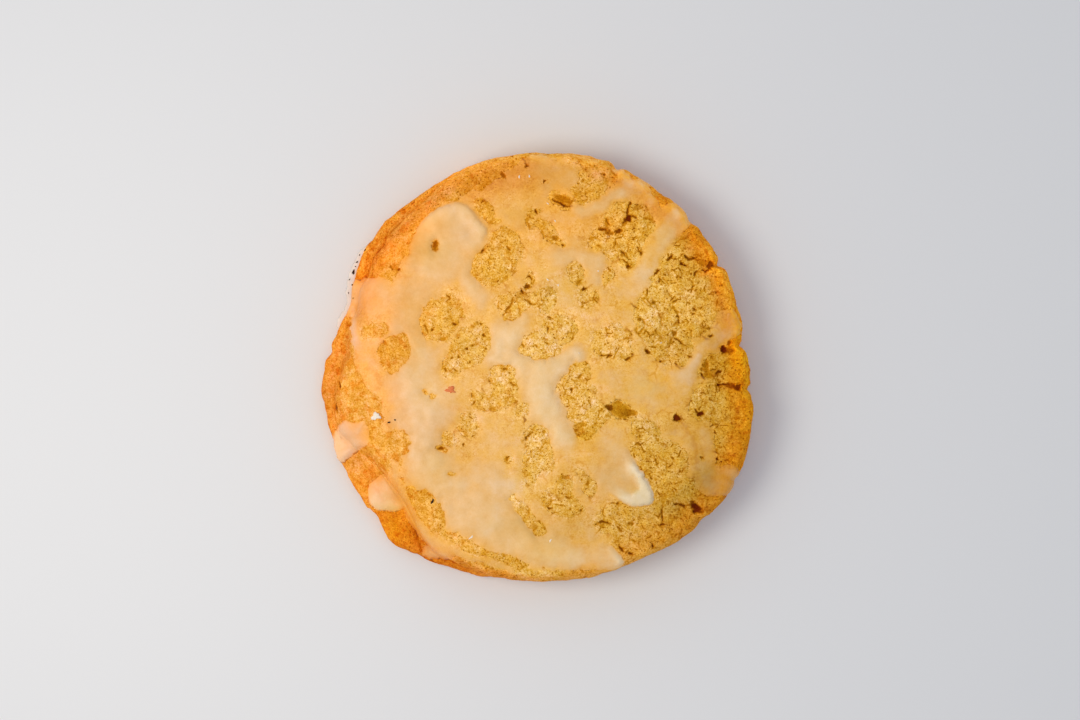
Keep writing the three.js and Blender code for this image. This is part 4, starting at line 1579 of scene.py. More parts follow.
def start_material(
    name: str, roughness: float, specular: float
) -> tuple[bpy.types.Material, bpy.types.NodeInputs]:
    """Starts a material whose gloss is the same all over.

    Args:
        name: Its name.
        roughness: How rough it is.
        specular: Its specular level.

    Returns:
        The material and its shader's inputs.
    """
    material = bpy.data.materials.new(name)
    material.use_nodes = True
    shader = material.node_tree.nodes["Principled BSDF"].inputs
    shader["Roughness"].default_value = roughness
    shader["Specular IOR Level"].default_value = specular
    return material, shader


def per_metre(size: float) -> float:
    """Returns the texture scale that gives a pattern of that size in millimetres."""
    return 1.0 / (size * MM)


@dataclass(frozen=True)
class Pattern:
    """An uneven pattern in a finish.

    Attributes:
        size: How far apart its bumps are, in millimetres.
        detail: How many times finer bumps lie on them.
        roughness: How strong those are.
        distortion: How bent it is.
    """

    size: float
    detail: float = 2.0
    roughness: float = 0.5
    distortion: float = 0.0

    def at(self, place: Socket) -> dict[str, object]:
        """Returns the inputs of the noise that draws the pattern, from a place in metres."""
        inputs = {"Vector": place, "Scale": per_metre(self.size), "Detail": self.detail}
        return inputs | {"Roughness": self.roughness, "Distortion": self.distortion}


@dataclass(frozen=True)
class LemonDough:
    """The look of baked lemon dough, shared by bare crumb and by crumb seen through thin glaze.

    Hex colours go from the left to the right of the cookie. Those for grains are shares of SPECKLE.

    Attributes:
        crumb: The crumb.
        veins: What the veins of its crust multiply it by.
        golden: What its golden blotches multiply it by.
        baked: Its browned outside.
        scorch: The foot and the very edge.
        grains: What dark and light grains multiply it by; a dark one is more saturated too.
        buttery: What its more and less yellow places multiply it by.
        deep: What a flat place and up to a dark hole multiply it by: browner crumb with painted shade in
            holes and cracks.
        mottle: The unevenness of the browning.
        burns: The scorched patches.
        grit: The grains.
        clumps: Larger grains.
        dust: The finest grains, as coarse as they must be to show.
        butter: The yellow places.
        blotch: The golden blotches.
        crust_veins: The veins.
        dots: The smallest pores.
        crack: The size of the cells between its hair cracks.
        crack_bend: What bends those.
        crack_width: What makes them wider and narrower.
        crack_spots: Where they open.
    """

    crumb: Stops = (
        *((0.0, "FFA442"), (0.11, "FFB24A"), (0.2, "FEB452"), (0.28, "FDBE5E"), (0.41, "FEC362")),
        *((0.52, "FDC86C"), (0.62, "FBC669"), (0.76, "F2BA50"), (0.88, "E2A63A"), (1.0, "D29627")),
    )
    veins: str = "ECC458"
    golden: Stops = ((0.0, "F4CC60"), (0.25, "EEC864"), (0.5, "DCC068"), (1.0, "D4B860"))
    baked: Stops = ((0.0, "FF9C34"), (0.5, "F2962A"), (1.0, "E88C0C"))
    scorch: Stops = ((0.0, "DA7410"), (0.3, "D27006"), (1.0, "CC7600"))
    grains: Stops = ((0.2, "857429"), (0.35, "908754"), (0.5, "9C9C9C"), (0.65, "A6ADCD"), (0.8, "AFBFFF"))
    buttery: Stops = ((0.3, "9A9674"), (0.5, "9C9C9C"), (0.7, "9EA2C8"))
    deep: Stops = (
        *((0.0, "FFFFFF"), (0.2, "EEDB94"), (0.4, "D8C050")),
        *((0.6, "B8982E"), (0.8, "926C20"), (1.0, "7A3F14")),
    )
    mottle: Pattern = Pattern(4.0, 5.0, 0.66)
    burns: Pattern = Pattern(1.3, 4.0, 0.65)
    grit: Pattern = Pattern(0.4, 3.0, 0.85)
    clumps: Pattern = Pattern(1.3, 3.0, 0.6)
    dust: Pattern = Pattern(0.24, 1.0, 0.6)
    butter: Pattern = Pattern(2.2, 4.0, 0.65)
    blotch: Pattern = Pattern(1.9, 5.0, 0.68, 0.15)
    crust_veins: Pattern = Pattern(1.1, 4.0, 0.7)
    dots: Pattern = Pattern(0.42, 2.0, 0.6)
    crack: float = 2.4
    crack_bend: Pattern = Pattern(1.4, 3.0)
    crack_width: Pattern = Pattern(1.2, 3.0, 0.6)
    crack_spots: Pattern = Pattern(2.0, 3.0, 0.6)

    def build(
        self, tree: Tree, place: Socket, openness: Socket | float, hollow: Socket
    ) -> tuple[Socket, Socket]:
        """Builds the dough's nodes.

        Args:
            tree: The material's nodes.
            place: The place on the object, in metres.
            openness: How much of the fine dark detail shows, from 0 to 1.
            hollow: How dark the holes and cracks of the mesh are, partly painted shade.

        Returns:
            The colour, and the height for a bump.
        """
        node = partial(add_node, tree)
        brown, scorched, across = (
            node("Attribute", output="Fac", attribute_name=name) for name in ("browned", "scorched", "across")
        )
        # Crumb that turns brown and then scorched towards the outside
        mottle = node("Math", (node("TexNoise", self.mottle.at(place)), 1.0, -0.5), **TIMES_PLUS)
        edge = node("Math", (mottle, 0.8, brown), use_clamp=True, **TIMES_PLUS)
        crumb, baked = self.ramp(tree, self.crumb), self.ramp(tree, self.baked)
        colour = node("Mix", {0: edge, 6: crumb, 7: baked}, **BLEND)
        burns = node("MapRange", (node("TexNoise", self.burns.at(place)), 0.36, 0.62))
        burnt = node("Math", (burns, scorched, 0.0), **TIMES_PLUS)
        colour = node("Mix", {0: burnt, 6: colour, 7: self.ramp(tree, self.scorch)}, **BLEND)
        # Grains of three sizes, stronger where the crumb is open
        grit = node("TexNoise", self.grit.at(place))
        away = node("Math", (grit, 1.0, -0.5), **TIMES_PLUS)
        strength = node("Math", (openness, 0.62, 0.24), **TIMES_PLUS)
        level = node("Math", (openness, -0.015, 0.5), **TIMES_PLUS)
        grain = node("Math", (away, strength, level), **TIMES_PLUS)
        grain = node("Math", (mottle, 0.5, grain), **TIMES_PLUS)
        clumps = node("Math", (node("TexNoise", self.clumps.at(place)), 0.64, -0.32), **TIMES_PLUS)
        clumps = node("Math", (clumps, 1.0, -0.32), **TIMES_PLUS)
        coarse = node("Math", (node("TexNoise", self.dust.at(place)), 0.64, clumps), **TIMES_PLUS)
        grain = node("Math", (coarse, openness, grain), **TIMES_PLUS)
        colour = self.speckle(tree, colour, grain, self.grains)
        colour = self.speckle(tree, colour, node("TexNoise", self.butter.at(place)), self.buttery)
        # Golden blotches, fewer of them away from the left edge
        from_left = node("MapRange", (across, 0.1, 0.34))
        blotch = node("Math", (node("TexNoise", self.blotch.at(place)), 1.0, 0.06), **TIMES_PLUS)
        blotch = node("Math", (from_left, -0.06, blotch), **TIMES_PLUS)
        most = node("Math", (openness, 0.5, 0.3), **TIMES_PLUS)
        blotch = node("MapRange", (blotch, 0.56, 0.66, 0.0, most))
        golden = node("Mix", {0: 1.0, 6: colour, 7: self.ramp(tree, self.golden)}, **MULTIPLY)
        colour = node("Mix", {0: blotch, 6: colour, 7: golden}, **BLEND)
        # Darker veins where there is a crust
        crust = node("Math", (scorched, 0.35, 0.0), **TIMES_PLUS)
        crust = node("Math", (brown, 0.7, crust), **TIMES_PLUS)
        shown = node("Math", (openness, 0.6, 0.35), **TIMES_PLUS)
        crust = node("Math", (crust, shown, 0.0), **TIMES_PLUS)
        veined = node("MapRange", (node("TexNoise", self.crust_veins.at(place)), 0.5, 0.6, 0.0, crust))
        darker = node("Mix", {0: 1.0, 6: colour, 7: linear(self.veins)}, **MULTIPLY)
        colour = node("Mix", {0: veined, 6: colour, 7: darker}, **BLEND)
        # Dark dots and hair cracks, except in the holes, which have their own darkness; like that of the
        # holes, it is browner crumb with painted shade
        away = node("Math", (from_left, 0.8, 0.2), **TIMES_PLUS)
        dotted = node("Math", (crust, 0.35, away), use_clamp=True, **TIMES_PLUS)
        shown = node("Math", (openness, 0.58, 0.0), **TIMES_PLUS)
        dotted = node("Math", (shown, dotted, 0.0), **TIMES_PLUS)
        dots = node("MapRange", (node("TexNoise", self.dots.at(place)), 0.6, 0.67, 0.0, dotted))
        soft = node("Math", (brown, -0.6, 1.0), **TIMES_PLUS)
        soft = node("Math", (soft, 0.8, 0.0), **TIMES_PLUS)
        cracked = node("Math", (openness, soft, 0.0), **TIMES_PLUS)
        fine = node("Math", (dots, self._hair_cracks(tree, place, cracked)), operation="MAXIMUM")
        outside = node("Math", (hollow, -2.0, 1.0), use_clamp=True, **TIMES_PLUS)
        fine = node("Math", (fine, outside, 0.0), **TIMES_PLUS)
        depth = node("Math", (fine, 1.0, hollow), use_clamp=True, **TIMES_PLUS)
        deep = node("ValToRGB", (depth,), self.deep)
        colour = node("Mix", {0: 1.0, 6: colour, 7: deep}, **MULTIPLY)
        return colour, node("Math", (fine, -0.3, grit), **TIMES_PLUS)

    def tinted(self, tree: Tree, colour: Socket) -> Socket:
        """Makes a colour uneven by the washes over the cookie.

        Args:
            tree: The material's nodes.
            colour: The even colour.

        Returns:
            The uneven colour.
        """
        node = partial(add_node, tree)
        names = ("tint_red", "tint_green", "tint_blue")
        parts = [node("Attribute", output="Fac", attribute_name=name) for name in names]
        return node("Mix", {0: 1.0, 6: colour, 7: node("CombineXYZ", parts)}, **MULTIPLY)

    def ramp(self, tree: Tree, stops: Stops) -> Socket:
        """Returns a colour that goes through the stops from the left to the right of the cookie."""
        across = add_node(tree, "Attribute", output="Fac", attribute_name="across")
        return add_node(tree, "ValToRGB", (across,), stops)

    def speckle(self, tree: Tree, colour: Socket, grain: Socket, stops: Stops) -> Socket:
        """Makes a colour uneven: saturated where the grain is dark, paler where it is light.

        Args:
            tree: The material's nodes.
            colour: The even colour.
            grain: A noise from 0 to 1.
            stops: What its values multiply the colour by, as a share of SPECKLE.

        Returns:
            The uneven colour.
        """
        tint = add_node(tree, "ValToRGB", (grain,), stops)
        colour = add_node(tree, "Mix", {0: 1.0, 6: colour, 7: tint}, **MULTIPLY)
        return add_node(tree, "HueSaturation", {"Value": SPECKLE, "Color": colour})

    def _hair_cracks(self, tree: Tree, place: Socket, most: Socket) -> Socket:
        """Draws stretches of a net of thin lines, mostly on the right.

        Args:
            tree: The material's nodes.
            place: The place on the object, in metres.
            most: How dark they get.

        Returns:
            0 between the cracks, rising towards most in them.
        """
        node = partial(add_node, tree)
        bend = node("TexNoise", self.crack_bend.at(place), output="Color")
        warped = node("VectorMath", (bend, (0.3 * self.crack * MM,) * 3, place), **TIMES_PLUS)
        net = {"Vector": warped, "Scale": per_metre(self.crack)}
        away = node("TexVoronoi", net, output="Distance", feature="DISTANCE_TO_EDGE")
        wide = node("Math", (node("TexNoise", self.crack_width.at(place)), 0.46, -0.14), **TIMES_PLUS)
        line = node("MapRange", (away, 0.0, wide, most, 0.0))
        some = node("MapRange", (node("TexNoise", self.crack_spots.at(place)), 0.51, 0.59))
        across = node("Attribute", output="Fac", attribute_name="across")
        right = node("MapRange", (across, 0.15, 0.75))
        line = node("Math", (line, some), operation="MULTIPLY")
        return node("Math", (line, right), operation="MULTIPLY")


@dataclass(frozen=True)
class BareCrumb:
    """Bare crumb: a dry, short, open dough that scatters light, dark in its cracks and pores."""

    dough: LemonDough = LemonDough()
    roughness: float = 0.85
    specular: float = 0.05
    relief: float = 0.28

    def build(self) -> bpy.types.Material:
        """Builds the material.

        Returns:
            The material.
        """
        material, shader = start_material("baked_crumb", self.roughness, self.specular)
        tree = material.node_tree
        place = add_node(tree, "TexCoord", output="Object")
        dark = add_node(tree, "Attribute", output="Fac", attribute_name="dark")
        colour, height = self.dough.build(tree, place, 1.0, dark)
        tree.links.new(self.dough.tinted(tree, colour), shader["Base Color"])
        bump = {"Height": height, "Distance": self.relief * MM, "Strength": 0.8}
        tree.links.new(add_node(tree, "Bump", bump), shader["Normal"])
        return material


@dataclass(frozen=True)
class LemonGlaze:
    """Poured sugar glaze: a satin film that shows the crumb through, creamy where it lies thick.

    Attributes:
        dough: The crumb under it.
        film: Hex colours of the thin film from the left to the right of the cookie.
        cream: Those of thick glaze.
        milky: What clear and milky patches multiply them by, times SPECKLE.
        patches: Those patches.
        cloud: The uneven places in the cream.
        ripple: The ripples of its upper face.
        roughness: How satin it is.
        specular: Its specular level.
        relief: How high the ripples are.
    """

    dough: LemonDough = LemonDough()
    film: Stops = (
        *((0.0, "FA9C44"), (0.14, "FBA347"), (0.19, "E9A14C"), (0.27, "E6A244")),
        *((0.5, "E6A13A"), (0.8, "DF9C2C"), (0.9, "C98818"), (1.0, "B87A10")),
    )
    cream: Stops = ((0.0, "F4B67C"), (0.2, "ECC08C"), (0.5, "EEC88E"), (0.75, "EFD8B0"), (1.0, "E2BC84"))
    milky: Stops = ((0.3, "948F77"), (0.5, "9C9C9C"), (0.7, "A4A9C3"))
    patches: Pattern = Pattern(2.4, 6.0, 0.78)
    cloud: Pattern = Pattern(3.4, 5.0, 0.64)
    ripple: Pattern = Pattern(1.3, 3.0, 0.55)
    roughness: float = 0.42
    specular: float = 0.3
    relief: float = 0.12

    def build(self) -> bpy.types.Material:
        """Builds the material.

        Returns:
            The material.
        """
        material, shader = start_material("poured_lemon_glaze", self.roughness, self.specular)
        tree, dough = material.node_tree, self.dough
        node = partial(add_node, tree)
        place = node("TexCoord", output="Object")
        dark, thick = (node("Attribute", output="Fac", attribute_name=name) for name in ("dark", "thick"))
        # The crumb shows through a thin film, less and less as that gets thicker
        shows = node("MapRange", (thick, 0.06, 0.17, 0.85, 0.24))
        crumb, crumb_height = dough.build(tree, place, shows, dark)
        veil = node("MapRange", (thick, 0.0, 0.3, 0.05, 0.68))
        patches = node("TexNoise", self.patches.at(place))
        film = dough.speckle(tree, dough.ramp(tree, self.film), patches, self.milky)
        wet = node("Mix", {0: veil, 6: crumb, 7: film}, **BLEND)
        # Thick glaze is opaque cream with soft clouds in it
        fainter = node("Math", (patches, 0.36, 0.32), **TIMES_PLUS)
        cream = dough.speckle(tree, dough.ramp(tree, self.cream), fainter, self.milky)
        uneven = node("Math", (node("TexNoise", self.cloud.at(place)), 0.45, thick), **TIMES_PLUS)
        amount = node("MapRange", (uneven, 0.36, 0.86))
        colour = node("Mix", {0: amount, 6: wet, 7: cream}, **BLEND)
        tree.links.new(dough.tinted(tree, colour), shader["Base Color"])
        relief = node("Mix", {0: veil, 2: crumb_height, 3: node("TexNoise", self.ripple.at(place))})
        bump = {"Height": relief, "Distance": self.relief * MM, "Strength": 0.7}
        tree.links.new(node("Bump", bump), shader["Normal"])
        return material


@dataclass(frozen=True)
class Fleck:
    """A plain finish for something very small: its two colours and the size of its grain."""

    name: str
    colour: str
    other: str
    roughness: float
    grain: float
    specular: float = 0.15

    def build(self) -> bpy.types.Material:
        """Builds the material.

        Returns:
            The material.
        """
        material, shader = start_material(self.name, self.roughness, self.specular)
        tree = material.node_tree
        place = add_node(tree, "TexCoord", output="Object")
        grain = add_node(tree, "TexNoise", Pattern(self.grain).at(place))
        colour = add_node(tree, "ValToRGB", (grain,), ((0.35, self.colour), (0.65, self.other)))
        tree.links.new(colour, shader["Base Color"])
        return material


# ---- The cookie and what lies on it ----


@dataclass
class CookieBody:
    """The baked body, all of the crumb down to the table.

    Attributes:
        surface: The cookie's surface.
        finish: What the crumb looks like.
        crust: How wide the browned band at the edge is, every 30 degrees from +X towards +Y.
        bake: How much the oven browned each direction, likewise; the low value at the far rim, 90 degrees, is
            partly less browning and partly painted light on a rim that faces away from the lamp.
        edge_scorch: How scorched the very edge is, likewise.
        foot_scorch: How scorched the foot is, every 15 degrees.
        rim_painted_light: Painted light: how much lighter the crown's rim is made every 30 degrees, most
            where it faces away from the lamp and its slope is in shade.
        rim_light_change: How much lighter red, green and blue get by that painted light.
        patch_rim_shade_change: How much red, green and blue change in the painted shade along the edge of
            bare crumb beside the glaze.
    """

    surface: Surface
    finish: BareCrumb = field(default_factory=BareCrumb)
    crust: Row = (6.0, 5.0, 6.0, 4.0, 6.0, 6.5, 4.5, 5.0, 4.5, 2.0, 7.0, 6.0)
    bake: Row = (1, 1, 0.9, 0.45, 0.9, 1, 0.9, 0.35, 1, 0.55, 0.4, 0.75)
    edge_scorch: Row = (0.5, 0.3, 0.2, 0.0, 0.3, 0.4, 0.7, 0.4, 0.7, 0.3, 0.3, 0.5)
    foot_scorch: Row = (
        *(0.6, 0.6, 0.6, 0.6, 0.6, 0.6, 0.6, 0.7, 0.9, 0.9, 0.9, 0.4),
        *(0.4, 0.15, 0.05, 0.5, 1.0, 1.0, 0.6, 0.6, 0.6, 0.6, 0.6, 0.6),
    )
    rim_painted_light: Row = (1.7, 1.9, 2.0, 1.6, 1.6, 1.2, 0.8, 0.5, 0.2, 0.3, 0.6, 0.9)
    rim_light_change: tuple[float, float, float] = (0.22, 0.31, 0.44)
    patch_rim_shade_change: tuple[float, float, float] = (-0.06, -0.14, -0.5)

    def build(self) -> bpy.types.Object:
        """Builds and dresses the body.

        Returns:
            The piece.
        """
        surface = self.surface
        fields = self.fields() | {"dark": surface.dark}
        points = surface.lifted(surface.crumb_height)
        piece = make_piece("cookie_crumb", points, surface.skin.faces, self.finish.build(), fields)
        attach(piece, "root")
        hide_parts("cookie")
        return piece

    def fields(self) -> dict[str, Array]:
        """Works out what colours the dough at each point.

        Returns:
            The named values that the finishes read.
        """
        fields = {"across": self._across(), "browned": self._browned(), "scorched": self._scorched()}
        change = sum(wash.change(self.surface.xy) for wash in WASHES)
        # Painted light: the crown's rim is lightened most where it faces away from the lamp
        change = change + self._painted_rim_light()[:, None] * np.array(self.rim_light_change)
        # Painted shade: bare crumb is darker and more golden just inside the glaze's edge, except on the
        # right
        change = change + self._patch_rim_shade()[:, None] * np.array(self.patch_rim_shade_change)
        return fields | dict(zip(("tint_red", "tint_green", "tint_blue"), np.exp(change).T))

    def _painted_rim_light(self) -> Array:
        """Works out how much painted light lightens each point at the crown's rim, where the rim faces away
        from the lamp.

        Returns:
            Shares from 0 to 1.
        """
        surface = self.surface
        near = ease(3.6, 0.6, self._from_edge() + 0.5 * surface.grain(surface.rest, 2.4))
        return near * closed_spline(self.rim_painted_light)(surface.skin.angle)

    def _patch_rim_shade(self) -> Array:
        """Works out how much painted shade darkens each point of bare crumb just inside the glaze's edge.

        Returns:
            Shares from 0 to 1.
        """
        surface = self.surface
        near = ease(-1.7, -0.3, surface.cover) * ease(0.3, -0.1, surface.cover)
        uneven = np.clip(0.55 + 0.9 * surface.grain(surface.rest + 3.0, 2.2), 0, 1)
        return near * uneven * ease(24, 10, surface.rest[:, 0])

    def _across(self) -> Array:
        """Works out where each point is between the left and the right edge, a little uneven.

        Returns:
            Shares from 0 to 1.
        """
        surface = self.surface
        wander = 1.6 * surface.grain(surface.rest, 7.0)
        return np.clip((surface.xy[:, 0] + wander + 45.0) / 90.0, 0, 1)

    def _browned(self) -> Array:
        """Works out how much the oven browned each point.

        Returns:
            The browning, 0 for none.
        """
        surface = self.surface
        steep = 0.9 * ease(0.75, 0.3, surface.normal[:, 2])
        low = 0.9 * ease(7.8, 5.6, surface.rest[:, 2])
        angle = surface.skin.angle
        wander = surface.grain(surface.rest, 3.2) + 0.6 * surface.grain(surface.rest, 1.4)
        rim = ease(1.2, 0.3, (self._from_edge() + wander) / closed_spline(self.crust)(angle))
        return np.maximum(np.maximum(steep, low), rim) * closed_spline(self.bake)(angle)

    def _scorched(self) -> Array:
        """Works out how much each point is scorched: the foot and the very edge.

        Returns:
            Shares from 0 to 1.
        """
        surface = self.surface
        angle = surface.skin.angle
        _, ledge, _ = surface.form.section(angle)
        foot = ease(2.0, 2.4, surface.skin.station) * ease(0.5, 1.6, ledge)
        foot *= np.clip(closed_spline(self.foot_scorch)(angle), 0, 1)
        edge = ease(2.2, 0.4, self._from_edge() + 0.7 * surface.grain(surface.rest, 2.0))
        return np.maximum(foot, edge * np.clip(closed_spline(self.edge_scorch)(angle), 0, 1))

    def _from_edge(self) -> Array:
        """Works out how far in from the cookie's outline each point is.

        Returns:
            The distances.
        """
        surface = self.surface
        crown, ledge, _ = surface.form.section(surface.skin.angle)
        return crown + ledge - np.hypot(surface.rest[:, 0], surface.rest[:, 1])


@dataclass
class GlazeShell:
    """The poured glaze: a closed shell that thins out at its edge and reaches just into the crumb.

    Attributes:
        surface: The cookie's surface.
        body: The crumb under it.
        finish: What it looks like.
        smallest: The area of the smallest scrap that holds together.
        reach_in: How far it reaches into the crumb.
    """

    surface: Surface
    body: CookieBody
    finish: LemonGlaze = field(default_factory=LemonGlaze)
    smallest: float = 0.9
    reach_in: float = 0.12

    def build(self) -> bpy.types.Object:
        """Builds and dresses the glaze.

        Returns:
            The piece.
        """
        surface = self.surface
        top = surface.lifted(surface.glaze_height)
        under = surface.lifted(surface.crumb_height - self.reach_in)
        fields = self.body.fields() | {"thick": surface.thick, "dark": surface.dark}
        table = np.column_stack([top, under, *fields.values()])
        table, faces, rim = self._clip(table, surface.skin.faces, surface.cover)
        faces = self._drop_scraps(table[:, :3], faces)
        # The under face has its own points but shares those on the edge
        below = np.where(rim, np.arange(len(table)), np.arange(len(table)) + len(table))
        shell = np.concatenate([faces, below[faces][:, ::-1]])
        points = np.concatenate([table[:, :3], table[:, 3:6]])
        values = np.concatenate([table[:, 6:], table[:, 6:]])
        used, shell = np.unique(shell, return_inverse=True)
        whole = dict(zip(fields, values[used].T))
        shell = shell.reshape(-1, 3)
        piece = make_piece("lemon_glaze", points[used], shell, self.finish.build(), whole)
        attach(piece, "root")
        return piece

    @staticmethod
    def _clip(table: Array, faces: Array, cover: Array) -> tuple[Array, Array, Array]:
        """Cuts the mesh along the glaze's edge.

        Args:
            table: A row of values for each point.
            faces: The triangles.
            cover: Above 0 where there is glaze.

        Returns:
            The rows with the edge's new points, the triangles inside, and which points are on the edge.
        """
        inside = cover[faces] > 0
        count = inside.sum(axis=1)
        kept = [faces[count == 3]]
        cut = faces[(count == 1) | (count == 2)]
        sides = np.sort(cut[:, [0, 1, 1, 2, 2, 0]].reshape(-1, 2), axis=1)
        crossing = (cover[sides[:, 0]] > 0) != (cover[sides[:, 1]] > 0)
        edges = np.unique(sides[crossing], axis=0)
        start, end = edges.T
        share = (cover[start] / (cover[start] - cover[end]))[:, None]
        added = table[start] * (1 - share) + table[end] * share
        size = len(table)
        keys = edges[:, 0] * size + edges[:, 1]

        def crossing_point(a: Array, b: Array) -> Array:
            """Returns the number of the new point between two points."""
            return size + np.searchsorted(keys, np.minimum(a, b) * size + np.maximum(a, b))

        for k in range(3):
            order = [k, (k + 1) % 3, (k + 2) % 3]
            a, b, c = faces[(count == 1) & inside[:, k]][:, order].T
            kept.append(np.stack([a, crossing_point(a, b), crossing_point(c, a)], axis=1))
            a, b, c = faces[(count == 2) & ~inside[:, k]][:, order].T
            ab, ca = crossing_point(a, b), crossing_point(c, a)
            kept += [np.stack([ab, b, c], axis=1), np.stack([ab, c, ca], axis=1)]
        rim = np.arange(size + len(added)) >= size
        return np.concatenate([table, added]), np.concatenate(kept), rim

    def _drop_scraps(self, points: Array, faces: Array) -> Array:
        """Leaves out scraps of glaze too small to hold together.

        Args:
            points: The mesh's points.
            faces: Its triangles.

        Returns:
            The triangles that stay.
        """
        part = islands(faces, len(points))[faces[:, 0]]
        a, b, c = (points[faces[:, k]] for k in range(3))
        area = np.linalg.norm(np.cross(b - a, c - a), axis=1) / 2
        return faces[np.bincount(part, weights=area)[part] > self.smallest]


@dataclass
class DriedLip:
    """Glaze that ran down the far left side and dried on the table as a thin pale lip.

    Attributes:
        finish: What it looks like.
        edge: (x, y) along its outer edge.
        thickness: How thick it is at the cookie.
        profile: Its section, from the edge in: how far in and the share of that thickness.
        along: How many points it has along its edge.
    """

    finish: Fleck
    edge: Rows = (
        *((-32.6, 25.6), (-34.0, 24.4), (-35.5, 23.0), (-36.5, 21.0), (-37.2, 19.3), (-37.9, 17.2)),
        *((-38.1, 15.0), (-37.9, 13.2), (-38.4, 11.6), (-39.9, 9.4), (-40.0, 8.0), (-39.4, 7.0)),
    )
    thickness: float = 0.3
    profile: Rows = ((0.0, 0.0), (0.12, 0.35), (0.6, 0.6), (3.2, 1.0), (3.2, 0.0))
    along: int = 120

    def build(self, grain: Grain) -> bpy.types.Object:
        """Makes the lip.

        Args:
            grain: The noise that frays its edge.

        Returns:
            The piece.
        """
        corners = np.array(self.edge)
        share = np.linspace(0, len(corners) - 1, self.along)
        x, y = (np.interp(share, np.arange(len(corners)), column) for column in corners.T)
        line = np.stack([x, y], axis=1)
        outward = line / np.hypot(x, y)[:, None]
        frayed = 0.22 * grain(line, 1.2) + 0.12 * grain(line, 0.5)
        rows = []
        for inset, lift in self.profile:
            out = (frayed - inset)[:, None] * outward
            rows.append(from_plan(x + out[:, 0], y + out[:, 1], self.thickness * lift))
        n, faces = self.along, []
        for row in range(len(rows)):
            a, b = row * n, ((row + 1) % len(rows)) * n
            for k in range(n - 1):
                faces += [(a + k, a + k + 1, b + k), (a + k + 1, b + k + 1, b + k)]
        for k, flip in ((0, 1), (n - 1, -1)):
            for row in range(1, len(rows) - 1):
                faces.append((k, row * n + k, (row + 1) * n + k)[::flip])
        points = np.concatenate(rows)
        piece = make_piece("dried_glaze_lip", points, np.array(faces), self.finish.build())
        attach(piece, "root")
        return piece


@dataclass
class Scatter:
    """Small things of one kind that lie on the cookie, joined into one piece.

    Attributes:
        name: The piece's name.
        slot: A name for its finish's slot; not used.
        finish: Its material.
        spots: (x, y, length, width, thickness, heading in degrees) of each.
        seed: For their uneven outlines.
        spikes: How ragged those are.
        around: How many points they have.
        beside: How far from the cookie a thing is that lies on the dried lip.
        lip_top: The height of that lip.
    """

    name: str
    slot: str
    finish: Fleck
    spots: Rows
    seed: int
    spikes: float = 0.22
    around: int = 22
    beside: float = 0.3
    lip_top: float = 0.2

    # A thing's rings of points: how wide each is and how high it lies
    RINGS: ClassVar[Rows] = ((1.0, 0.0), (0.85, 0.7), (0.45, 1.0))

    def build(self, surface: Surface) -> bpy.types.Object:
        """Sets the things on the cookie.

        Args:
            surface: The cookie's surface.

        Returns:
            The piece.
        """
        crust = surface.lifted(surface.crumb_height)
        glaze = surface.lifted(surface.glaze_height)
        top = np.where((surface.cover > 0)[:, None], glaze, crust)
        shown = on_plan(top)
        facing = surface.normal[:, 2] > 0.05
        draw = np.random.default_rng(self.seed)
        points: list[Array] = []
        faces: list[Array] = []
        for x, y, length, width, thick, heading in self.spots:
            away = np.hypot(shown[:, 0] - x, shown[:, 1] - y) + np.where(facing, 0, 100)
            near = int(np.argmin(away))
            up, base = surface.normal[near], top[near]
            if away[near] > self.beside:
                up = np.array([0.0, 0.0, 1.0])
                base = from_plan(np.array(x), np.array(y), self.lip_top)
            rows, cut = self._flake(draw, length, width, thick)
            faces.append(cut + sum(map(len, points)))
            points.append(self._laid(rows, up, math.radians(heading)) + (base + up * 0.12 * thick))
        whole, cuts = np.concatenate(points), np.concatenate(faces)
        piece = make_piece(self.name, whole, cuts, self.finish.build())
        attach(piece, "root")
        return piece

    def _flake(
        self, draw: np.random.Generator, length: float, width: float, thick: float
    ) -> tuple[Array, Array]:
        """Makes one thing: a ragged disc that is thickest in its middle.

        Args:
            draw: The random draws.
            length: Its length.
            width: Its width.
            thick: Its thickness.

        Returns:
            Its points and triangles.
        """
        n = self.around
        turn = 2 * math.pi * np.arange(n) / n
        lobes = np.sin(3 * turn + draw.uniform(0, 6)) * 0.6 + np.sin(5 * turn + draw.uniform(0, 6)) * 0.5
        ragged = 1 + self.spikes * lobes
        ragged = ragged + self.spikes * draw.normal(0, 0.35, size=n)
        rings = []
        for share, lift in self.RINGS:
            flat = np.stack([np.cos(turn) * length / 2, np.sin(turn) * width / 2], axis=1)
            rise = thick * lift * (1 + 0.2 * draw.normal(size=n))
            rings.append(np.column_stack([flat * (ragged * share)[:, None], rise]))
        under = rings[0] * np.array([0.8, 0.8, 1.0]) - np.array([0, 0, 0.5 * thick])
        middle = np.array([[0, 0, thick], [0, 0, -0.5 * thick]])
        points = np.concatenate([under, *rings, middle])
        faces = []
        for k in range(n):
            j = (k + 1) % n
            for ring in range(3):
                a, b = ring * n, (ring + 1) * n
                faces += [(a + k, a + j, b + k), (a + j, b + j, b + k)]
            faces += [(3 * n + k, 3 * n + j, 4 * n), (j, k, 4 * n + 1)]
        return points, np.array(faces)

    @staticmethod
    def _laid(points: Array, normal: Array, heading: float) -> Array:
        """Turns flat points to lie on the surface.

        Args:
            points: The points.
            normal: The surface's outward direction.
            heading: The direction of their length, in radians.

        Returns:
            The turned points.
        """
        along = np.array([math.cos(heading), math.sin(heading), 0.0])
        along = along - normal * float(along @ normal)
        along /= np.linalg.norm(along)
        return points @ np.stack([along, np.cross(normal, along), normal])


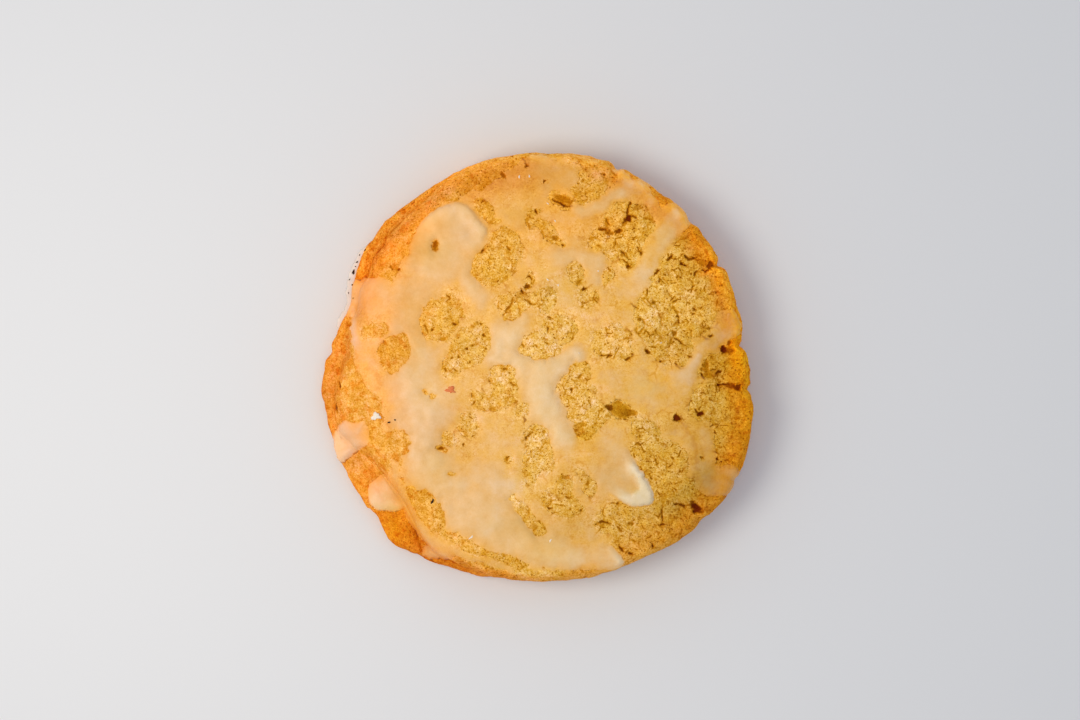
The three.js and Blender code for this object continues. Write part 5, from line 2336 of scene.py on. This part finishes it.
# x, y, length, width, thickness and heading. Burnt specks: the row down the left edge lies on the lip
DARK_SPECKS: Rows = (
    (-29.3, -11.15, 0.62, 0.32, 0.16, 15), (-28.4, -10.7, 0.42, 0.28, 0.14, -10),
    (-34.3, 23.3, 0.4, 0.3, 0.15, 30), (-35.4, 22.4, 0.3, 0.22, 0.12, 60), (-35.9, 21, 0.5, 0.3, 0.15, 30),
    (-36.2, 20.1, 0.25, 0.2, 0.12, 0), (-36.6, 19, 1, 0.5, 0.2, 80), (-37.4, 17.5, 0.4, 0.16, 0.1, 40),
    (-37, 16.3, 0.4, 0.25, 0.14, 20), (-37.6, 14.8, 0.35, 0.18, 0.1, 90), (-36.5, 13.8, 0.25, 0.2, 0.1, 90),
    (-20.9, -26.9, 1.1, 0.45, 0.16, 62),
)
RED_FLECK: Rows = ((-17.1, -4.4, 1.8, 1.15, 0.2, -15),)
# White flakes of icing; the thin ones, 0.06 thick, on the glaze are painted glints: white marks for its small
# reflections
WHITE_FLAKES_AND_GLINTS: Rows = (
    (-32, -10, 2, 1.5, 0.22, 20), (-13, -34, 1.1, 0.35, 0.1, 40), (2.5, -34.7, 0.7, 0.3, 0.1, 60),
    (25, 4.8, 0.4, 0.2, 0.08, 45), (-3.2, 38, 0.3, 0.7, 0.06, 0), (-1.6, 38.3, 0.3, 0.6, 0.06, 0),
    (2.2, 32.7, 0.6, 0.2, 0.06, -40), (3.8, 29, 0.5, 0.2, 0.06, -60), (6.7, 27.5, 0.4, 0.2, 0.06, 0),
    (2, 20, 0.25, 0.5, 0.06, 0), (2.3, 17.5, 0.6, 0.25, 0.06, -40), (4.3, 16.5, 0.3, 0.5, 0.06, 20),
    (12.5, 19, 0.35, 0.3, 0.06, 0), (8.3, 3, 0.3, 0.2, 0.06, 0), (10.5, 3.8, 0.2, 0.5, 0.06, 0),
    (20.5, -22, 0.3, 0.2, 0.06, 0), (16, -23.3, 0.4, 0.2, 0.06, 30),
)


# ---- The studio ----


@dataclass
class Studio:
    """A pale floor, a large soft light from the left, even light all round, and the camera."""

    floor_size: float = 3000.0
    floor_colour: str = "E0DFDC"
    near_sky: str = "FCF9F5"
    far_sky: str = "D3E2FF"
    sky_strength: float = 0.755
    lamp_place: tuple[float, float, float] = (-152.0, -14.0, 272.0)
    lamp_size: float = 160.0
    lamp_power: float = 0.405
    lamp_colour: str = "FFF7EC"
    lens: float = 85.0
    sensor: float = 36.0

    def build(self) -> None:
        """Sets up the studio."""
        self._lay_floor()
        self._light_room()
        self._hang_lamp()
        self._set_camera()
        bpy.context.scene.view_settings.view_transform = "Standard"

    def _lay_floor(self) -> None:
        """Lays the floor: matt board, so that it shows no reflection of the cookie."""
        half = self.floor_size / 2
        corners = np.array([(-half, -half, 0), (half, -half, 0), (half, half, 0), (-half, half, 0)])
        material, shader = start_material("matt_pale_board", 0.9, 0.1)
        shader["Base Color"].default_value = linear(self.floor_colour)
        floor = make_piece("floor", corners, np.array([(0, 1, 2), (0, 2, 3)]), material)

    def _light_room(self) -> None:
        """Lights the room evenly, a little warmer from the left than from the right."""
        world = bpy.data.worlds.new("soft_room")
        world.use_nodes = True
        tree = world.node_tree
        background = tree.nodes["Background"].inputs
        direction = add_node(tree, "TexCoord", output="Generated")
        east = add_node(tree, "SeparateXYZ", (direction,), output="X")
        side = add_node(tree, "MapRange", (east, -0.9, 0.9))
        skies = {0: side, 6: linear(self.near_sky), 7: linear(self.far_sky)}
        tree.links.new(add_node(tree, "Mix", skies, **BLEND), background["Color"])
        background["Strength"].default_value = self.sky_strength
        bpy.context.scene.world = world

    def _hang_lamp(self) -> None:
        """Hangs the lamp, turned to the cookie."""
        lamp = bpy.data.lights.new("window_lamp", "AREA")
        lamp.shape = "DISK"
        lamp.size = self.lamp_size * MM
        lamp.energy = self.lamp_power
        lamp.color = linear(self.lamp_colour)[:3]
        holder = bpy.data.objects.new("window_lamp", lamp)
        place = np.array(self.lamp_place)
        holder.location = place * MM
        x, y, z = -place / np.linalg.norm(place)
        holder.rotation_euler = (math.acos(-z), 0.0, math.atan2(y, x) - math.pi / 2)
        bpy.context.scene.collection.objects.link(holder)

    def _set_camera(self) -> None:
        """Puts the camera straight above the cookie."""
        camera = bpy.data.cameras.new("overhead")
        camera.lens = self.lens
        camera.sensor_width = self.sensor
        holder = bpy.data.objects.new("overhead", camera)
        x, y = VIEW_CENTRE
        holder.location = (x * MM, y * MM, (VIEW_DISTANCE + PLAN_LEVEL) * MM)
        bpy.context.scene.collection.objects.link(holder)
        bpy.context.scene.camera = holder


def main() -> None:
    """Builds the cookie, its glaze and flecks, and the studio."""
    logging.basicConfig(level=logging.INFO, format="%(message)s")
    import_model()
    grain = Grain(seed=23)
    plan = Plan(grain)
    glaze = GlazePlan(plan, grain)
    surface = Surface(CookieForm(), plan, glaze, CrumbPlan(plan, glaze), grain)
    body = CookieBody(surface)
    # Sugar that dried without crumb under it: pale, chalky and a little glossy
    lip = Fleck("dried_pale_glaze", "E2D5C8", "EADFD4", 0.5, 1.4)
    pieces = [body.build(), GlazeShell(surface, body).build(), DriedLip(lip).build(grain)]
    # Crumb burnt to charcoal: almost black, brown where it is thin, and dull
    burnt = Fleck("charred_crumb", "22110A", "4A2A18", 0.8, 0.2)
    # Dried peel: an even orange red with a faint gloss
    red = Fleck("dried_red_peel", "E2844C", "DE723A", 0.5, 0.5)
    # Icing that set in thin flakes: cream white, soft edged and dull; the same white marks paint the glaze's
    # small glints
    white = Fleck("white_icing_and_glints", "EFDCC2", "F6E8D2", 0.6, 0.5)
    pieces.append(Scatter("dark_specks", "dark_specks", burnt, DARK_SPECKS, 5).build(surface))
    pieces.append(Scatter("red_fleck", "red_fleck", red, RED_FLECK, 6, 0.45).build(surface))
    pieces.append(Scatter("white_flakes", "white_flakes", white, WHITE_FLAKES_AND_GLINTS, 7, 0.35).build(surface))
    for piece in pieces:
        LOG.info("%s: %d triangles", piece.name, len(piece.data.polygons))
    Studio().build()


if __name__ == "__main__":
    main()
